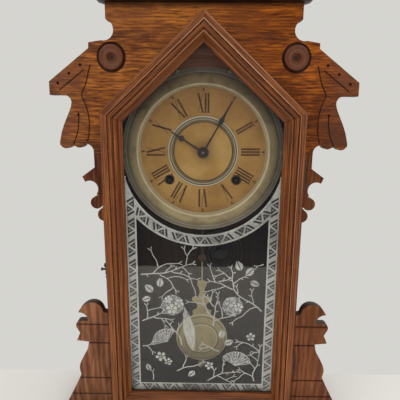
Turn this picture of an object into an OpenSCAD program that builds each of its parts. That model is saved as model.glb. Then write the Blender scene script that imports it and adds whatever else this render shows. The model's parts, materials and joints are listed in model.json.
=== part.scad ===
// Eight-day gingerbread shelf clock: oak case with sawn ears and scrolls, gabled glass door,
// printed dial, striking movement with lantern pinions, and a front-hung pendulum.
// Millimetres. X to the right, Y towards the back, Z up. The origin is the middle of the base.

/* [Case] */
// Width over the two side boards
case_w = 227.6; // [222:0.1:236]
// Depth from the front face of the front board to the back
case_d = 106; // [100:0.5:116]
// Thickness of the sawn front board and stiles
front_t = 12; // [10:0.5:14]
// Thickness of the side boards
side_t = 10; // [8:0.5:12]
// Thickness of the back board
back_t = 6; // [4:0.5:7]
// Thickness of the roof board
roof_t = 10; // [8:0.5:12]
// Height of the eave tips of the ears above the table
ear_z = 430; // [428:0.5:436]
// Height of the roof above the eave tips
roof_rise = 40; // [38:0.5:42]
// Half width of the neck of the front board under the cornice
neck_x = 102; // [98:0.5:108]
// Height of the front board above the apex of the door
neck_rise = 8.5; // [8:0.5:16]

/* [Base] */
// Width of the base over its mouldings
base_w = 360; // [354:1:380]
// How far the base stands in front of the case
base_front = 24; // [22:0.5:30]
// Height of the base
base_h = 28; // [26:0.5:32]
// Thickness of the base board
base_board_t = 12; // [8:0.5:14]
// Width of the base mouldings
base_mould_w = 14; // [12:0.5:18]

/* [Sawn ornament] */
// Thickness of the base scrolls
scroll_t = 10; // [8:0.5:12]
// Width of the incised lines
line_w = 1.3; // [0.8:0.1:1.8]
// Depth of the incised lines
line_depth = 1.2; // [0.6:0.1:1.6]
// Diameter of the small blind holes in the ears
dot_d = 3; // [2:0.1:4]
// Radius of the recess round each rosette
rosette_recess_r = 15.5; // [14.5:0.1:17]
// Depth of the recess round each rosette
rosette_recess_depth = 2.5; // [1.5:0.1:4]
// Radius of the turned rosettes
rosette_r = 13.5; // [12:0.1:14]
// Distance of the rosettes from the middle
rosette_x = 97.4; // [94:0.1:99]
// Height of the cornice
cornice_h = 23; // [18:0.5:28]
// How far the cornice spreads beyond the neck
cornice_spread = 19; // [12:0.5:22]
// Height of the sawn crest above the cornice
crest_h = 56; // [48:0.5:70]
// Thickness of the crest
crest_t = 9; // [7:0.5:11]

/* [Door] */
// Gap between the side of the case and the edge of the door
door_margin = 4.3; // [3.5:0.1:5]
// Height of the door's lower edge above the base
door_lift = 7; // [5:0.5:9]
// Height of the shoulders of the gable
shoulder_z = 398; // [394:0.5:402]
// Height of the apex of the gable
apex_z = 499.5; // [494:0.5:504]
// Width of the door mouldings
door_member_w = 22.5; // [22:0.5:26]
// Height of the bead above the back of the door
door_bead_t = 15.2; // [14.5:0.1:16]
// How far the door laps over the front frame
door_lap = 15.5; // [13:0.5:18]
// Running gap between the door and the front frame
door_gap = 0.5; // [0.4:0.1:1]
// Thickness of the glass
glass_t = 2; // [1.5:0.1:2.5]
// Width of the rebate that holds the glass
rebate_w = 4.5; // [3.5:0.1:5.5]
// Depth of the rebate that holds the glass
rebate_d = 4.4; // [3.8:0.1:5]

/* [Hinges and latch] */
// Length of each hinge
hinge_l = 30; // [24:0.5:36]
// Outer radius of the hinge knuckles
knuckle_r = 2; // [1.8:0.05:2]
// Radius of the hinge pins
hinge_pin_r = 1; // [0.8:0.05:1.1]
// Thickness of the hinge leaves
leaf_t = 0.9; // [0.7:0.05:1.1]
// Height of the middle of the lower hinge
hinge_low_z = 95; // [80:1:130]
// Height of the middle of the upper hinge
hinge_high_z = 330; // [300:1:345]
// Height of the latch pivot
latch_z = 220; // [200:1:240]
// Length of the latch hook from pivot to stud
latch_reach = 12; // [11:0.25:14]
// Radius of the latch stud on the door
latch_stud_r = 1.2; // [1:0.05:1.4]

/* [Dial] */
// Height of the middle of the dial
dial_z = 353; // [351:0.5:354]
// Depth of the front of the dial pan behind the front face
dial_depth = 37; // [36.5:0.1:37.5]
// Radius of the dial pan
pan_r = 97; // [96:0.5:98]
// Thickness of the dial pan
pan_t = 0.8; // [0.6:0.1:1]
// Radius of the printed paper
paper_r = 75.4; // [74:0.1:75.5]
// Outer radius of the bezel
bezel_r = 91; // [90:0.5:93]
// Height of the bezel above the pan
bezel_h = 8.4; // [7:0.1:9.5]
// Outer radius of the small ring round the middle
ring_r = 42; // [40:0.5:43]
// Radius of the winding holes
wind_hole_r = 5.4; // [5:0.1:6]
// Sideways distance of the winding arbors from the middle
wind_x = 40.5; // [40:0.1:41]
// Distance of the winding arbors below the middle
wind_drop = 34; // [33.5:0.1:34.5]

/* [Hands] */
// Length of the minute hand from its middle
minute_l = 72; // [64:0.5:74]
// Length of the hour hand from its middle
hour_l = 47; // [40:0.5:54]
// Thickness of the hands
hand_t = 0.7; // [0.5:0.05:0.9]
// Angle of the hour hand from twelve, clockwise
hour_angle = 302.5; // [0:0.5:360]
// Angle of the minute hand from twelve, clockwise
minute_angle = 30; // [0:0.5:360]

/* [Movement] */
// Depth of the front plate's front face behind the front face of the case
plate_depth = 56; // [55.7:0.1:56.5]
// Thickness of the plates
plate_t = 1.4; // [1.2:0.1:1.6]
// Distance from the back plate to the back board
plate_leg = 7.2; // [6:0.1:9]
// Half width of the plates
plate_x = 67; // [66:0.5:72]
// Radius of the pillars between the plates
pillar_r = 3.5; // [3:0.1:4]
// Radius of the plain arbors
arbor_r = 1.5; // [1.3:0.05:1.5]
// Radius of the pivots
pivot_r = 1; // [0.8:0.05:1.1]
// Radius of the winding arbors
wind_r = 3; // [2.6:0.05:3.2]
// Side of the winding squares
wind_square = 4; // [3.5:0.1:4.4]
// Running clearance of every pivot, pin and pipe
run_gap = 0.05; // [0.03:0.01:0.08]
// Teeth of the two great wheels
great_teeth = 72; // [70:1:74]
// Module of the great wheels
great_m = 0.8; // [0.79:0.01:0.81]
// Height of the verge and the pendulum's bending point above the middle
verge_rise = 52; // [51.5:0.1:52.5]

/* [Pendulum and gong] */
// Length from the bending point to the middle of the bob
pendulum_l = 303; // [290:1:310]
// Radius of the bob
bob_r = 34.5; // [28:0.5:35]
// Thickness of the bob
bob_t = 8; // [6:0.5:10]
// Radius of the pendulum rod
rod_r = 1; // [0.8:0.05:1.1]
// Inner radius of the stirrup round the hour pipe
stirrup_r = 8; // [7.5:0.1:9]
// Outer radius of the gong coil
gong_r = 34; // [28:0.5:35]
// Turns of the gong coil
gong_turns = 5; // [4:1:6]
// Distance of the hammer head from the gong at rest
hammer_gap = 0.8; // [0.4:0.1:1.5]

/* [Hidden] */
$fn = 48;

half_w = case_w / 2;
front_y = (base_front - case_d) / 2;
back_y = front_y + case_d;
door_w = case_w - 2 * door_margin;
door_z0 = base_h + door_lift;
gable_angle = atan((apex_z - shoulder_z) / (door_w / 2));
opening_x = door_w / 2 - door_lap;
roof_z = ear_z + roof_rise;
neck_z = apex_z + neck_rise;
stile_top_z = ear_z - 76;
door_back = front_y - door_gap;
inner_x = half_w - side_t;

// Points of an arc, angles in degrees
function arc(cx, cz, r, a0, a1, n = 8) =
    [for (i = [0:n]) let (a = a0 + (a1 - a0) * i / n) [cx + r * cos(a), cz + r * sin(a)]];

// Points of a cubic curve
function curve(p, q, r, s, n = 8) =
    [for (i = [0:n]) let (t = i / n, u = 1 - t)
        u * u * u * p + 3 * u * u * t * q + 3 * u * t * t * r + t * t * t * s];

// Direction of a path at point i
function heading(p, i) =
    let (d = p[min(i + 1, len(p) - 1)] - p[max(i - 1, 0)]) d / norm(d);

// A line of even width along a path
function stroke(p, w) = concat(
    [for (i = [0:len(p) - 1]) let (h = heading(p, i)) p[i] + w / 2 * [-h[1], h[0]]],
    [for (i = [len(p) - 1:-1:0]) let (h = heading(p, i)) p[i] - w / 2 * [-h[1], h[0]]]);

// A spiral strip of even width
function spiral(r0, r1, turns, w, n) = let (steps = turns * n) concat(
    [for (i = [0:steps]) (r0 + (r1 - r0) * i / steps - w / 2) * [cos(360 * i / n), sin(360 * i / n)]],
    [for (i = [steps:-1:0]) (r0 + (r1 - r0) * i / steps + w / 2) * [cos(360 * i / n), sin(360 * i / n)]]);

// The outline of the door, drawn in by d all round
function house(d) =
    let (x = door_w / 2 - d, z = shoulder_z + d * (tan(gable_angle) - 1 / cos(gable_angle)))
    [[-x, door_z0 + d], [x, door_z0 + d], [x, z], [0, apex_z - d / cos(gable_angle)], [-x, z]];

// A flat piece: its outline stands in X and Z, and it fills depth y to y + t behind the front face
module board(y, t) {
    translate([0, front_y + y + t, 0]) rotate([90, 0, 0]) linear_extrude(t) children();
}

// A turned piece on an axis along Y: profile points are [radius, distance in front of depth y]
module turned(x, y, z, profile) {
    translate([x, front_y + y, z]) rotate([90, 0, 0]) rotate_extrude() polygon(profile);
}

// A round bar along Y from depth y0 to y1
module bar(x, z, r, y0, y1) {
    translate([x, front_y + y1, z]) rotate([90, 0, 0]) cylinder(r = r, h = y1 - y0);
}

module mirrored() {
    children();
    mirror([1, 0, 0]) children();
}

// Case and base

// The moulded edge of the base: outline of one strip, in [distance outwards, height]
function base_profile() = let (w = base_mould_w, h = base_h) concat(
    [[0, 0], [w, 0], [w, 7], [w - 1, 8.5]],
    curve([w - 1.5, 8.5], [w - 1, 15], [w - 7, 14], [w - 7, h - 4]),
    [[w - 8.5, h - 4], [w - 8.5, h], [0, h]]);

base_x = base_w / 2 - base_mould_w;
base_y = front_y - base_front + base_mould_w;
mitre_reach = base_mould_w + 1;

module base_strip(length) {
    rotate([90, 0, 0]) linear_extrude(length) polygon(base_profile());
}

module base_mitre(outline) {
    translate([0, 0, -1]) linear_extrude(base_h + 2) polygon(outline);
}

module base_board() {
    color("saddlebrown") translate([-base_x, base_y, base_h - base_board_t])
        cube([2 * base_x, back_y - base_y, base_board_t]);
}

module base_moulding_front() {
    color("saddlebrown") intersection() {
        translate([base_w / 2 + 1, base_y, 0]) rotate([0, 0, -90]) base_strip(base_w + 2);
        base_mitre([[-base_x, base_y], [-base_x - mitre_reach, base_y - mitre_reach],
            [base_x + mitre_reach, base_y - mitre_reach], [base_x, base_y]]);
    }
}

module base_mouldings_side() {
    color("saddlebrown") mirrored() intersection() {
        translate([base_x, back_y, 0]) base_strip(back_y - base_y + mitre_reach);
        base_mitre([[base_x, base_y], [base_x + mitre_reach, base_y - mitre_reach],
            [base_x + mitre_reach, back_y + 1], [base_x, back_y + 1]]);
    }
}

module base_cleat() {
    color("saddlebrown") translate([-base_x, back_y - base_mould_w, 0])
        cube([2 * base_x, base_mould_w, base_h - base_board_t]);
}

module side_board_right() {
    color("peru") translate([inner_x, front_y + front_t, base_h])
        cube([side_t, case_d - front_t, roof_z - roof_t - base_h]);
}

module side_board_left() {
    mirror([1, 0, 0]) side_board_right();
}

module back_board() {
    color("burlywood") translate([-inner_x, back_y - back_t, base_h])
        cube([2 * inner_x, back_t, roof_z - roof_t - base_h]);
}

module roof_board() {
    color("peru") translate([-half_w, front_y + front_t, roof_z - roof_t])
        cube([case_w, case_d - front_t, roof_t]);
}

// Sawn front: ears, stiles, scrolls, cornice and crest

// Half outline of the front board, from the cornice out over the ear and back to the door opening
function ear_outline() = let (e = half_w + 7.2, z = ear_z) concat(
    [[0, neck_z], [neck_x, neck_z], [neck_x, z + 42.5], [e, z + 39.5], [e + 0.3, z + 33.8]],
    [[half_w + 51.5, z], [half_w + 51.7, z - 14], [half_w + 45, z - 14], [half_w + 43.7, z - 12.8],
        [half_w + 42.2, z - 14]],
    arc(half_w + 36.2, z - 21.5, 7.5, 90, 180),
    curve([half_w + 28.7, z - 22], [half_w + 29.7, z - 32], [half_w + 42.2, z - 46], [half_w + 44.2, z - 67]),
    [[half_w + 40, z - 70], [half_w + 29.5, z - 68], [half_w + 23, z - 70]],
    arc(e + 8.5, z - 74.5, 8.5, 90, 180),
    [[e, stile_top_z], [opening_x, stile_top_z], house(door_lap)[2], house(door_lap)[3]]);

// Paths of the incised lines of one ear
function ear_lines() = let (z = ear_z) [
    [[half_w + 13.5, z + 12], [half_w + 41, z - 9]],
    concat([[half_w + 6.5, z + 17], [half_w + 11.5, z - 1], [half_w + 17, z - 12.5]],
        curve([half_w + 17.2, z - 14.5], [half_w + 10, z - 29], [half_w + 8, z - 45],
            [half_w + 13.5, z - 64])),
    curve([half_w + 21.5, z - 36], [half_w + 22, z - 50], [half_w + 24, z - 56], [half_w + 29.3, z - 67], 5)];

// Blind holes of one ear
function ear_dots() = let (z = ear_z)
    [[half_w + 16.9, z + 17.1], [half_w + 29.4, z + 8.3], [half_w + 42, z - 1.6], [half_w + 21.8, z - 34.4]];

module ear() {
    difference() {
        board(0, front_t) difference() {
            union() {
                polygon(ear_outline());
                translate([half_w + 37.5, ear_z - 64.6]) circle(6.6);
                translate([half_w + 22.7, ear_z - 64]) circle(6.3);
            }
            translate([neck_x + 3, ear_z + 52]) circle(10.7);
        }
        for (path = ear_lines()) board(-1, 1 + line_depth) polygon(stroke(path, line_w));
        for (p = ear_dots()) bar(p[0], p[1], dot_d / 2, -1, 3);
        bar(rosette_x, ear_z + 24.8, rosette_recess_r, -1, rosette_recess_depth);
    }
}

module front_board() {
    color("peru") union() mirrored() ear();
}

// A front stile with its sawn bracket
module stile_board() {
    z = stile_top_z;
    board(0, front_t) difference() {
        union() {
            polygon([[opening_x, base_h], [half_w, base_h], [half_w, z - 56], [half_w + 4.7, z - 48],
                [half_w + 18.2, z - 33.5], [half_w + 21.6, z - 26.5], [half_w + 7.2, z - 16],
                [half_w + 7.2, z], [opening_x, z]]);
            translate([half_w + 6.7, z - 56.5]) circle(7);
            translate([half_w - 1.3, z - 70.5]) circle(7.5);
        }
        translate([half_w + 13.7, z - 40.5]) circle(9.3);
    }
}

module front_stile_right() {
    color("peru") difference() {
        stile_board();
        for (z = [hinge_low_z, hinge_high_z]) case_leaf_box(z, 0.05);
    }
}

module front_stile_left() {
    color("peru") difference() {
        mirror([1, 0, 0]) stile_board();
        bar_x(-half_w - 1, latch_y, latch_z, latch_screw_r, 9);
    }
}

module front_rail() {
    color("peru") board(0, front_t) polygon([[-opening_x, base_h], [opening_x, base_h],
        [opening_x, door_z0 + door_lap], [-opening_x, door_z0 + door_lap]]);
}

module rosettes() {
    color("sienna") mirrored() turned(rosette_x, rosette_recess_depth, ear_z + 24.8, concat(
        [[0, 0], [rosette_r, 0], [rosette_r, 2.4]],
        arc(rosette_r - 2.6, 2.6, 2.4, 0, 120, 6),
        [[rosette_r - 5.2, 3.4]],
        arc(5.6, 3.2, 1.6, 30, 170, 6),
        [[3.2, 1.2], [0, 1.2]]));
}

// Outline of a base scroll, from the foot of the case outwards
scroll_points = concat(
    [[0, 0], [0, 132], [4.5, 133]],
    curve([5.7, 134], [8.7, 150], [28.2, 150], [36.5, 132.5], 14),
    arc(35.5, 121.9, 10.6, 85, 180),
    [[24.9, 121.2], [36, 121.2]],
    arc(33.9, 115.2, 6.2, 70, -20, 6),
    [[35.6, 105.2], [40.1, 94.8], [25.5, 93.2]],
    curve([25.9, 91], [26.2, 78], [39.5, 68], [39, 55.5], 10),
    curve([37.4, 47.3], [46.7, 27], [52, 17], [60.7, 0], 6));

// The scrolls reach outwards to a little inside the ends of the base
function scroll_outline() =
    let (k = (base_w / 2 - 5.5 - half_w) / scroll_points[len(scroll_points) - 1][0])
    [for (p = scroll_points) [half_w + k * p[0], base_h + p[1]]];

// Heights of the incised lines of a scroll above the base
scroll_line_z = [116.5, 91.3, 42.5, 19.3];

module base_scroll_right() {
    color("sienna") difference() {
        board(0, scroll_t) polygon(scroll_outline());
        for (z = scroll_line_z) translate([half_w - 1, front_y, base_h + z])
            rotate([45, 0, 0]) translate([0, -line_depth * 0.8, -line_depth * 0.8])
                cube([(base_w - case_w) / 2, line_depth * 1.6, line_depth * 1.6]);
    }
}

module base_scroll_left() {
    mirror([1, 0, 0]) base_scroll_right();
}

// The cornice, in [distance outwards, height above the neck]
function cornice_profile() = let (s = cornice_spread, h = cornice_h) concat(
    [[0, 0], [s - 10, 2.8], [s - 10, 4.2]],
    curve([s - 9.5, 4.2], [s - 8.5, h - 11], [s - 1, h - 13], [s - 1.5, h - 6]),
    [[s, h - 6], [s, h - 1.5], [s - 1.5, h]]);

module cornice() {
    side = [for (p = cornice_profile()) [neck_x + p[0], neck_z + p[1]]];
    other = [for (i = [len(side) - 1:-1:0]) [-side[i][0], side[i][1]]];
    front = [for (p = cornice_profile()) [front_y - p[0], neck_z + p[1]]];
    depth = cornice_spread + 20;
    color("saddlebrown") intersection() {
        board(-depth, depth + front_t) polygon(concat(side, other));
        translate([-half_w - 40, 0, 0]) rotate([90, 0, 90]) linear_extrude(case_w + 80)
            polygon(concat([[front_y + front_t, neck_z]], front, [[front_y + front_t, neck_z + cornice_h]]));
    }
}

// Half outline of the crest above the cornice
function crest_outline() = let (h = crest_h, w = neck_x - 6) concat(
    [[0, 0], [w, 0], [w, 7]],
    arc(w - 10, 17, 10, 270, 180),
    [[w - 24, 17]],
    curve([w - 24, 22], [w - 38, 22], [w - 46, 34], [w - 50, h - 22], 8),
    arc(w - 60, h - 22, 8, 0, -180),
    [[w - 70, h - 20], [w - 66, h - 10]],
    arc(0, h - 13, 13, 0, 90, 8));

module crest() {
    color("peru") translate([0, (front_t - crest_t) / 2, neck_z + cornice_h]) board(0, crest_t)
        difference() {
            union() mirrored() polygon(crest_outline());
            translate([0, crest_h - 13]) circle(4.5);
        }
}

// Door

// Moulding of the door, in [distance inwards from the outer edge, height above the back]
function door_profile() = let (w = door_member_w, t = door_bead_t) concat(
    [[0, 0], [0, t - 2], [0.8, t - 1.2], [7.3, t - 1.2], [7.9, t - 2.6], [8.3, t - 2.6]],
    arc(10.9, t - 2.6, 2.6, 170, 10),
    [[13.5, t - 2.6], [14, t - 2.8], [14.6, t - 1.6]],
    curve([15, t - 1.5], [18, t - 2], [w - 5, t - 8], [w, t - 8.4], 8),
    [[w, rebate_d], [w - rebate_w, rebate_d], [w - rebate_w, 0]]);

// A length of moulding whose outer edge runs from p to q, mitred to the corners of the door
module door_member(i) {
    p = house(0)[i];
    q = house(0)[(i + 1) % 5];
    d = q - p;
    spare = 2 * door_member_w;
    intersection() {
        translate([p[0], door_back, p[1]]) rotate([0, -atan2(d[1], d[0]), 0]) translate([-spare, 0, 0])
            rotate([180, -90, 0]) linear_extrude(norm(d) + 2 * spare) polygon(door_profile());
        board(-door_gap - door_bead_t - 1, door_bead_t + 2)
            polygon([p, q, house(door_member_w)[(i + 1) % 5], house(door_member_w)[i]]);
    }
}

module door_bottom_rail() {
    color("saddlebrown") door_member(0);
}

module door_stile_right() {
    color("saddlebrown") difference() {
        door_member(1);
        for (z = [hinge_low_z, hinge_high_z]) door_leaf_box(z, 0.05);
    }
}

module door_gable_right() {
    color("saddlebrown") door_member(2);
}

module door_gable_left() {
    color("saddlebrown") door_member(3);
}

module door_stile_left() {
    color("saddlebrown") difference() {
        door_member(4);
        bar_x(-door_w / 2 - 1, latch_stud_y, latch_z, latch_stud_r, 9);
    }
}

glass_gap = 0.3;

module door_glass() {
    color("lightblue", 0.4) board(-door_gap - rebate_d + 0.1, glass_t)
        polygon(house(door_member_w - rebate_w + glass_gap));
}

module glass_putty() {
    t = rebate_d - 0.1 - glass_t;
    color("dimgray") board(-door_gap - t, t) difference() {
        polygon(house(door_member_w - rebate_w));
        polygon(house(door_member_w - 0.6));
    }
}

// Hinges: the pin stands in front of the right stile, beside the edge of the door

hinge_x = half_w - knuckle_r;
hinge_y = front_y - knuckle_r - 0.4;
knuckle_l = hinge_l / 3;
leaf_w = 10;
web_t = 1.4;

// A round piece standing along Z
module upright(r, z0, h) {
    translate([hinge_x, hinge_y, z0]) cylinder(r = r, h = h);
}

module case_leaf_box(z, gap) {
    translate([half_w - leaf_w - gap, front_y - gap, z - hinge_l / 2 - gap])
        cube([leaf_w - knuckle_r + web_t + gap, leaf_t + 2 * gap, hinge_l + 2 * gap]);
}

module door_leaf_box(z, gap) {
    translate([door_w / 2 - leaf_t - gap, door_back - leaf_w - 1, z - hinge_l / 2 - gap])
        cube([leaf_t + 2 * gap, leaf_w + 0.4 + gap, hinge_l + 2 * gap]);
}

module hinge_case_leaves() {
    web_y = front_y - hinge_y + leaf_t;
    color("goldenrod") for (z = [hinge_low_z, hinge_high_z]) union() {
        case_leaf_box(z, 0);
        for (z0 = [z - hinge_l / 2, z + knuckle_l / 2 + 0.1]) {
            upright(knuckle_r, z0, knuckle_l - 0.1);
            translate([hinge_x - 0.6, hinge_y, z0]) cube([web_t, web_y, knuckle_l - 0.1]);
        }
        upright(hinge_pin_r, z - hinge_l / 2, hinge_l);
        upright(knuckle_r - 0.3, z + hinge_l / 2 - 0.1, 1.2);
    }
}

module hinge_door_leaves() {
    web_x = hinge_x - door_w / 2 + leaf_t;
    color("goldenrod") for (z = [hinge_low_z, hinge_high_z]) difference() {
        union() {
            door_leaf_box(z, 0);
            upright(knuckle_r, z - knuckle_l / 2, knuckle_l);
            translate([hinge_x - web_x, hinge_y - 0.6, z - knuckle_l / 2]) cube([web_x, 1.2, knuckle_l]);
        }
        upright(hinge_pin_r + run_gap, z - hinge_l, 2 * hinge_l);
    }
}

// Latch on the left side: a hook that hangs down, and swings up under a stud in the door's edge

latch_y = front_y + 5;
latch_stud_y = latch_y - latch_reach;
hook_t = 1.2;
latch_screw_r = 1.2;
hook_x = -half_w - 0.4 - hook_t;

// A round bar along X from x0, h long
module bar_x(x0, y, z, r, h) {
    translate([x0, y, z]) rotate([0, 90, 0]) cylinder(r = r, h = h);
}

module latch_stud() {
    color("darkgoldenrod") {
        bar_x(hook_x - 0.6, latch_stud_y, latch_z, latch_stud_r, -hook_x + 0.6 - door_w / 2 + 6);
        bar_x(hook_x - 1.6, latch_stud_y, latch_z, latch_stud_r + 0.8, 1);
    }
}

module latch_screw() {
    color("dimgray") {
        bar_x(hook_x - 0.1, latch_y, latch_z, latch_screw_r, -hook_x + 0.1 - half_w + 7);
        bar_x(hook_x - 1.1, latch_y, latch_z, 2.4, 1);
    }
}

// The hook as it hangs: outline in [forwards, up] from its pivot
module latch_hook() {
    in_r = latch_stud_r + 0.5;
    color("dimgray") translate([hook_x + hook_t, latch_y, latch_z]) rotate([90, 0, -90])
        linear_extrude(hook_t) difference() {
            union() {
                circle(2.8);
                translate([-1.4, -latch_reach + in_r]) square([2.8, latch_reach - in_r]);
                translate([0, -latch_reach]) circle(in_r + 1.6);
                translate([-in_r - 1.6, -latch_reach - 5.5]) square([1.6, 6]);
            }
            circle(latch_screw_r + run_gap);
            translate([0, -latch_reach]) circle(in_r);
            translate([0, -latch_reach - in_r]) square([in_r + 3, 2 * in_r]);
        }
}

// Dial

// Positions of the two winding arbors, from the middle of the dial
wind_places = [for (side = [1, -1]) [side * wind_x, -wind_drop]];
pipe_r = 2.6;
center_r = 1.2;
paper_t = 0.3;

// Blocks behind the rim of the pan: one under the roof, and one on each side board
module dial_blocks() {
    block_y = dial_depth + pan_t;
    top_h = 34;
    side_x = 88;
    side_h = 60;
    color("saddlebrown") {
        board(block_y, 8) translate([-inner_x, roof_z - roof_t - top_h]) square([2 * inner_x, top_h]);
        mirrored() board(block_y, 12) translate([side_x, dial_z - side_h / 2])
            square([inner_x - side_x, side_h]);
    }
}

// A disc of the dial with its middle hole and its winding holes
module dial_disc(r) {
    translate([0, dial_z]) difference() {
        circle(r);
        circle(pipe_r + 0.6);
        for (p = wind_places) translate(p) circle(wind_hole_r);
    }
}

module dial_pan() {
    color("silver") board(dial_depth, pan_t) dial_disc(pan_r);
}

module dial_paper() {
    color("burlywood") board(dial_depth - paper_t, paper_t) dial_disc(paper_r);
}

// The rolled bezel: a thin shell round the paper
module dial_bezel() {
    r = bezel_r;
    h = bezel_h;
    color("silver") turned(0, dial_depth, dial_z, concat(
        [[r, 0], [r - 0.8, 2], [r - 5, h - 3.2], [r - 9.5, h - 0.8]],
        arc(r - 12.6, h - 2.2, 2.2, 80, 200, 6),
        [[r - 14.6, h - 4.4], [r - 13.6, h - 3.8]],
        arc(r - 12.6, h - 2.2, 1.3, 200, 80, 5),
        [[r - 9.8, h - 1.9], [r - 5.8, h - 4.2], [r - 1.8, 1.6], [r - 2, 0]]));
}

module dial_center_ring() {
    r = ring_r;
    color("gold") turned(0, dial_depth - paper_t, dial_z, [[r, 0], [r - 0.2, 1.3], [r - 1.2, 2.1],
        [r - 2.4, 1.7], [r - 3.2, 0.8], [r - 4.3, 0.8], [r - 5, 1.7], [r - 6.2, 1.9], [r - 7.2, 1],
        [r - 7.5, 0]]);
}

module winding_grommets() {
    r = wind_hole_r;
    color("gold") for (p = wind_places) turned(p[0], dial_depth + pan_t, dial_z + p[1], [[r - 0.8, 0],
        [r, 0], [r, pan_t + paper_t], [r + 0.8, pan_t + paper_t], [r + 0.8, pan_t + paper_t + 0.4],
        [r - 0.3, pan_t + paper_t + 0.7], [r - 0.8, pan_t + paper_t + 0.3]]);
}

// Hands, drawn upwards from the middle and turned to their hour

minute_depth = 24;
hour_depth = 27;

module hand(depth, angle) {
    translate([0, 0, dial_z]) rotate([0, angle, 0]) board(depth, hand_t) children();
}

module minute_hand() {
    l = minute_l;
    leaf = l * 0.61;
    color("black") {
        hand(minute_depth, minute_angle) difference() {
            union() {
                circle(6);
                polygon(concat([[-1.1, 4], [1.1, 4], [0.9, leaf - 9]],
                    [[2.9, leaf - 2], [1.2, leaf + 4], [0.9, leaf + 9], [0.2, l], [-0.2, l],
                        [-0.9, leaf + 9], [-1.2, leaf + 4], [-2.9, leaf - 2], [-0.9, leaf - 9]]));
            }
            circle(center_r);
        }
        translate([0, 0, dial_z]) turned(0, minute_depth, 0,
            [[center_r, 0], [4.2, 0], [3.6, 0.8], [2.2, 1.3], [center_r, 1.4]]);
    }
}

module hour_hand() {
    l = hour_l;
    color("black") hand(hour_depth, hour_angle) difference() {
        union() {
            circle(6.6);
            polygon([[-1.3, 4], [1.3, 4], [1, l - 20], [1.2, l - 14], [0.9, l - 8], [0.25, l], [-0.25, l],
                [-0.9, l - 8], [-1.2, l - 14], [-1, l - 20]]);
            translate([0, l - 17]) circle(3.6);
        }
        circle(pipe_r);
    }
}

// Movement: levels count back from the inner face of the front plate, and 34 of them fill the gap
// between the plates, so the whole train becomes deeper or shallower with the case

inner_face = plate_depth + plate_t;
back_face = case_d - back_t - plate_leg - plate_t;
plate_gap = back_face - inner_face;
levels = 34;
second_m = 0.9;
center_m = 0.52;
third_m = 0.5;
strike_second_m = 0.6;
strike_third_m = 0.55;
motion_m = 0.75;
great_pinion = 9;
second_teeth = 36;
center_pinion = 12;
center_teeth = 72;
third_pinion = 8;
third_teeth = 70;
escape_pinion = 7;
escape_teeth = 36;
strike_second_teeth = 60;
strike_third_pinion = 8;
strike_third_teeth = 56;
fly_pinion = 7;

// Distance between the middles of a wheel and the lantern pinion that it turns
function reach(m, wheel, pinion) = m * (wheel + pinion) / 2;

// A point at a distance and an angle from p
function from(p, distance, angle) = p + distance * [cos(angle), sin(angle)];

// The angle from p to q
function toward(p, q) = atan2(q[1] - p[1], q[0] - p[0]);

// The point at distances rp from p and rq from q, to the left of the way from p to q if side is 1
function meet(p, rp, q, rq, side) = let (
    d = norm(q - p), a = (rp * rp - rq * rq + d * d) / (2 * d), h = sqrt(rp * rp - a * a), u = (q - p) / d)
    p + a * u + side * h * [-u[1], u[0]];

time_great = wind_places[0];
time_second = meet(time_great, reach(great_m, great_teeth, great_pinion), [0, 0],
    reach(second_m, second_teeth, center_pinion), -1);
third = from([0, 0], reach(center_m, center_teeth, third_pinion), 100);
escape = from(third, reach(third_m, third_teeth, escape_pinion), 60);
strike_great = wind_places[1];
strike_second = [-time_second[0], time_second[1]];
strike_third = from(strike_second, reach(strike_second_m, strike_second_teeth, strike_third_pinion), 105);
fly_place = from(strike_third, reach(strike_third_m, strike_third_teeth, fly_pinion), 110);
motion_place = from([0, 0], reach(motion_m, 30, 10), 180);
verge_place = [0, verge_rise];
hammer_place = [-14, -62];
pillar_places = [[56, verge_rise + 5], [62, -64], [-62, -64], [-56, verge_rise + 5]];
escape_arbor_r = 1.1;
escape_level = -7.2;
motion_depth = plate_depth - 7;
motion_level = motion_depth - inner_face;

// Outline of a wheel whose teeth leave a gap in the direction gap_angle
function wheel_outline(n, m, gap_angle) = let (r = n * m / 2, pitch = 360 / n) [for (i = [0:n - 1])
    let (a = gap_angle + pitch * (i + 0.5))
    for (corner = [[-0.27, r - 1.15 * m], [-0.08, r + 0.8 * m], [0.08, r + 0.8 * m], [0.27, r - 1.15 * m]])
        corner[1] * [cos(a + corner[0] * pitch), sin(a + corner[0] * pitch)]];

// A wheel with four spokes
module crossed(r, hub) {
    difference() {
        children();
        difference() {
            circle(r * 0.82);
            circle(hub + 1.6);
            for (a = [45, 135]) rotate(a) translate([-r, -r * 0.055 - 0.4]) square([2 * r, r * 0.11 + 0.8]);
        }
    }
}

function depth_of(level) = inner_face + (level > 0 ? level * plate_gap / levels : level);

module at_level(p, level, t) {
    y = depth_of(level);
    board(y, depth_of(level + t) - y) translate([p[0], p[1] + dial_z]) children();
}

module spoked_wheel(p, n, m, gap_angle, level, t, hub) {
    at_level(p, level, t) crossed(n * m / 2, hub) polygon(wheel_outline(n, m, gap_angle));
}

// A lantern pinion with one trundle in the direction of its wheel
module lantern(p, n, m, wheel_angle, level0, level1) {
    for (level = [level0, level1 - 0.8]) at_level(p, level, 0.8) circle(n * m / 2 + 0.5 * m + 0.4);
    for (i = [0:n - 1]) at_level(from(p, n * m / 2, wheel_angle + 360 * i / n), level0 + 0.4,
        level1 - level0 - 0.8) circle(0.48 * m);
}

// An arbor between the plates with its two pivots
module arbor(p, r) {
    at_level(p, 0.3, levels - 0.6) circle(r);
    bar(p[0], dial_z + p[1], pivot_r, plate_depth, back_face + plate_t);
}

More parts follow.
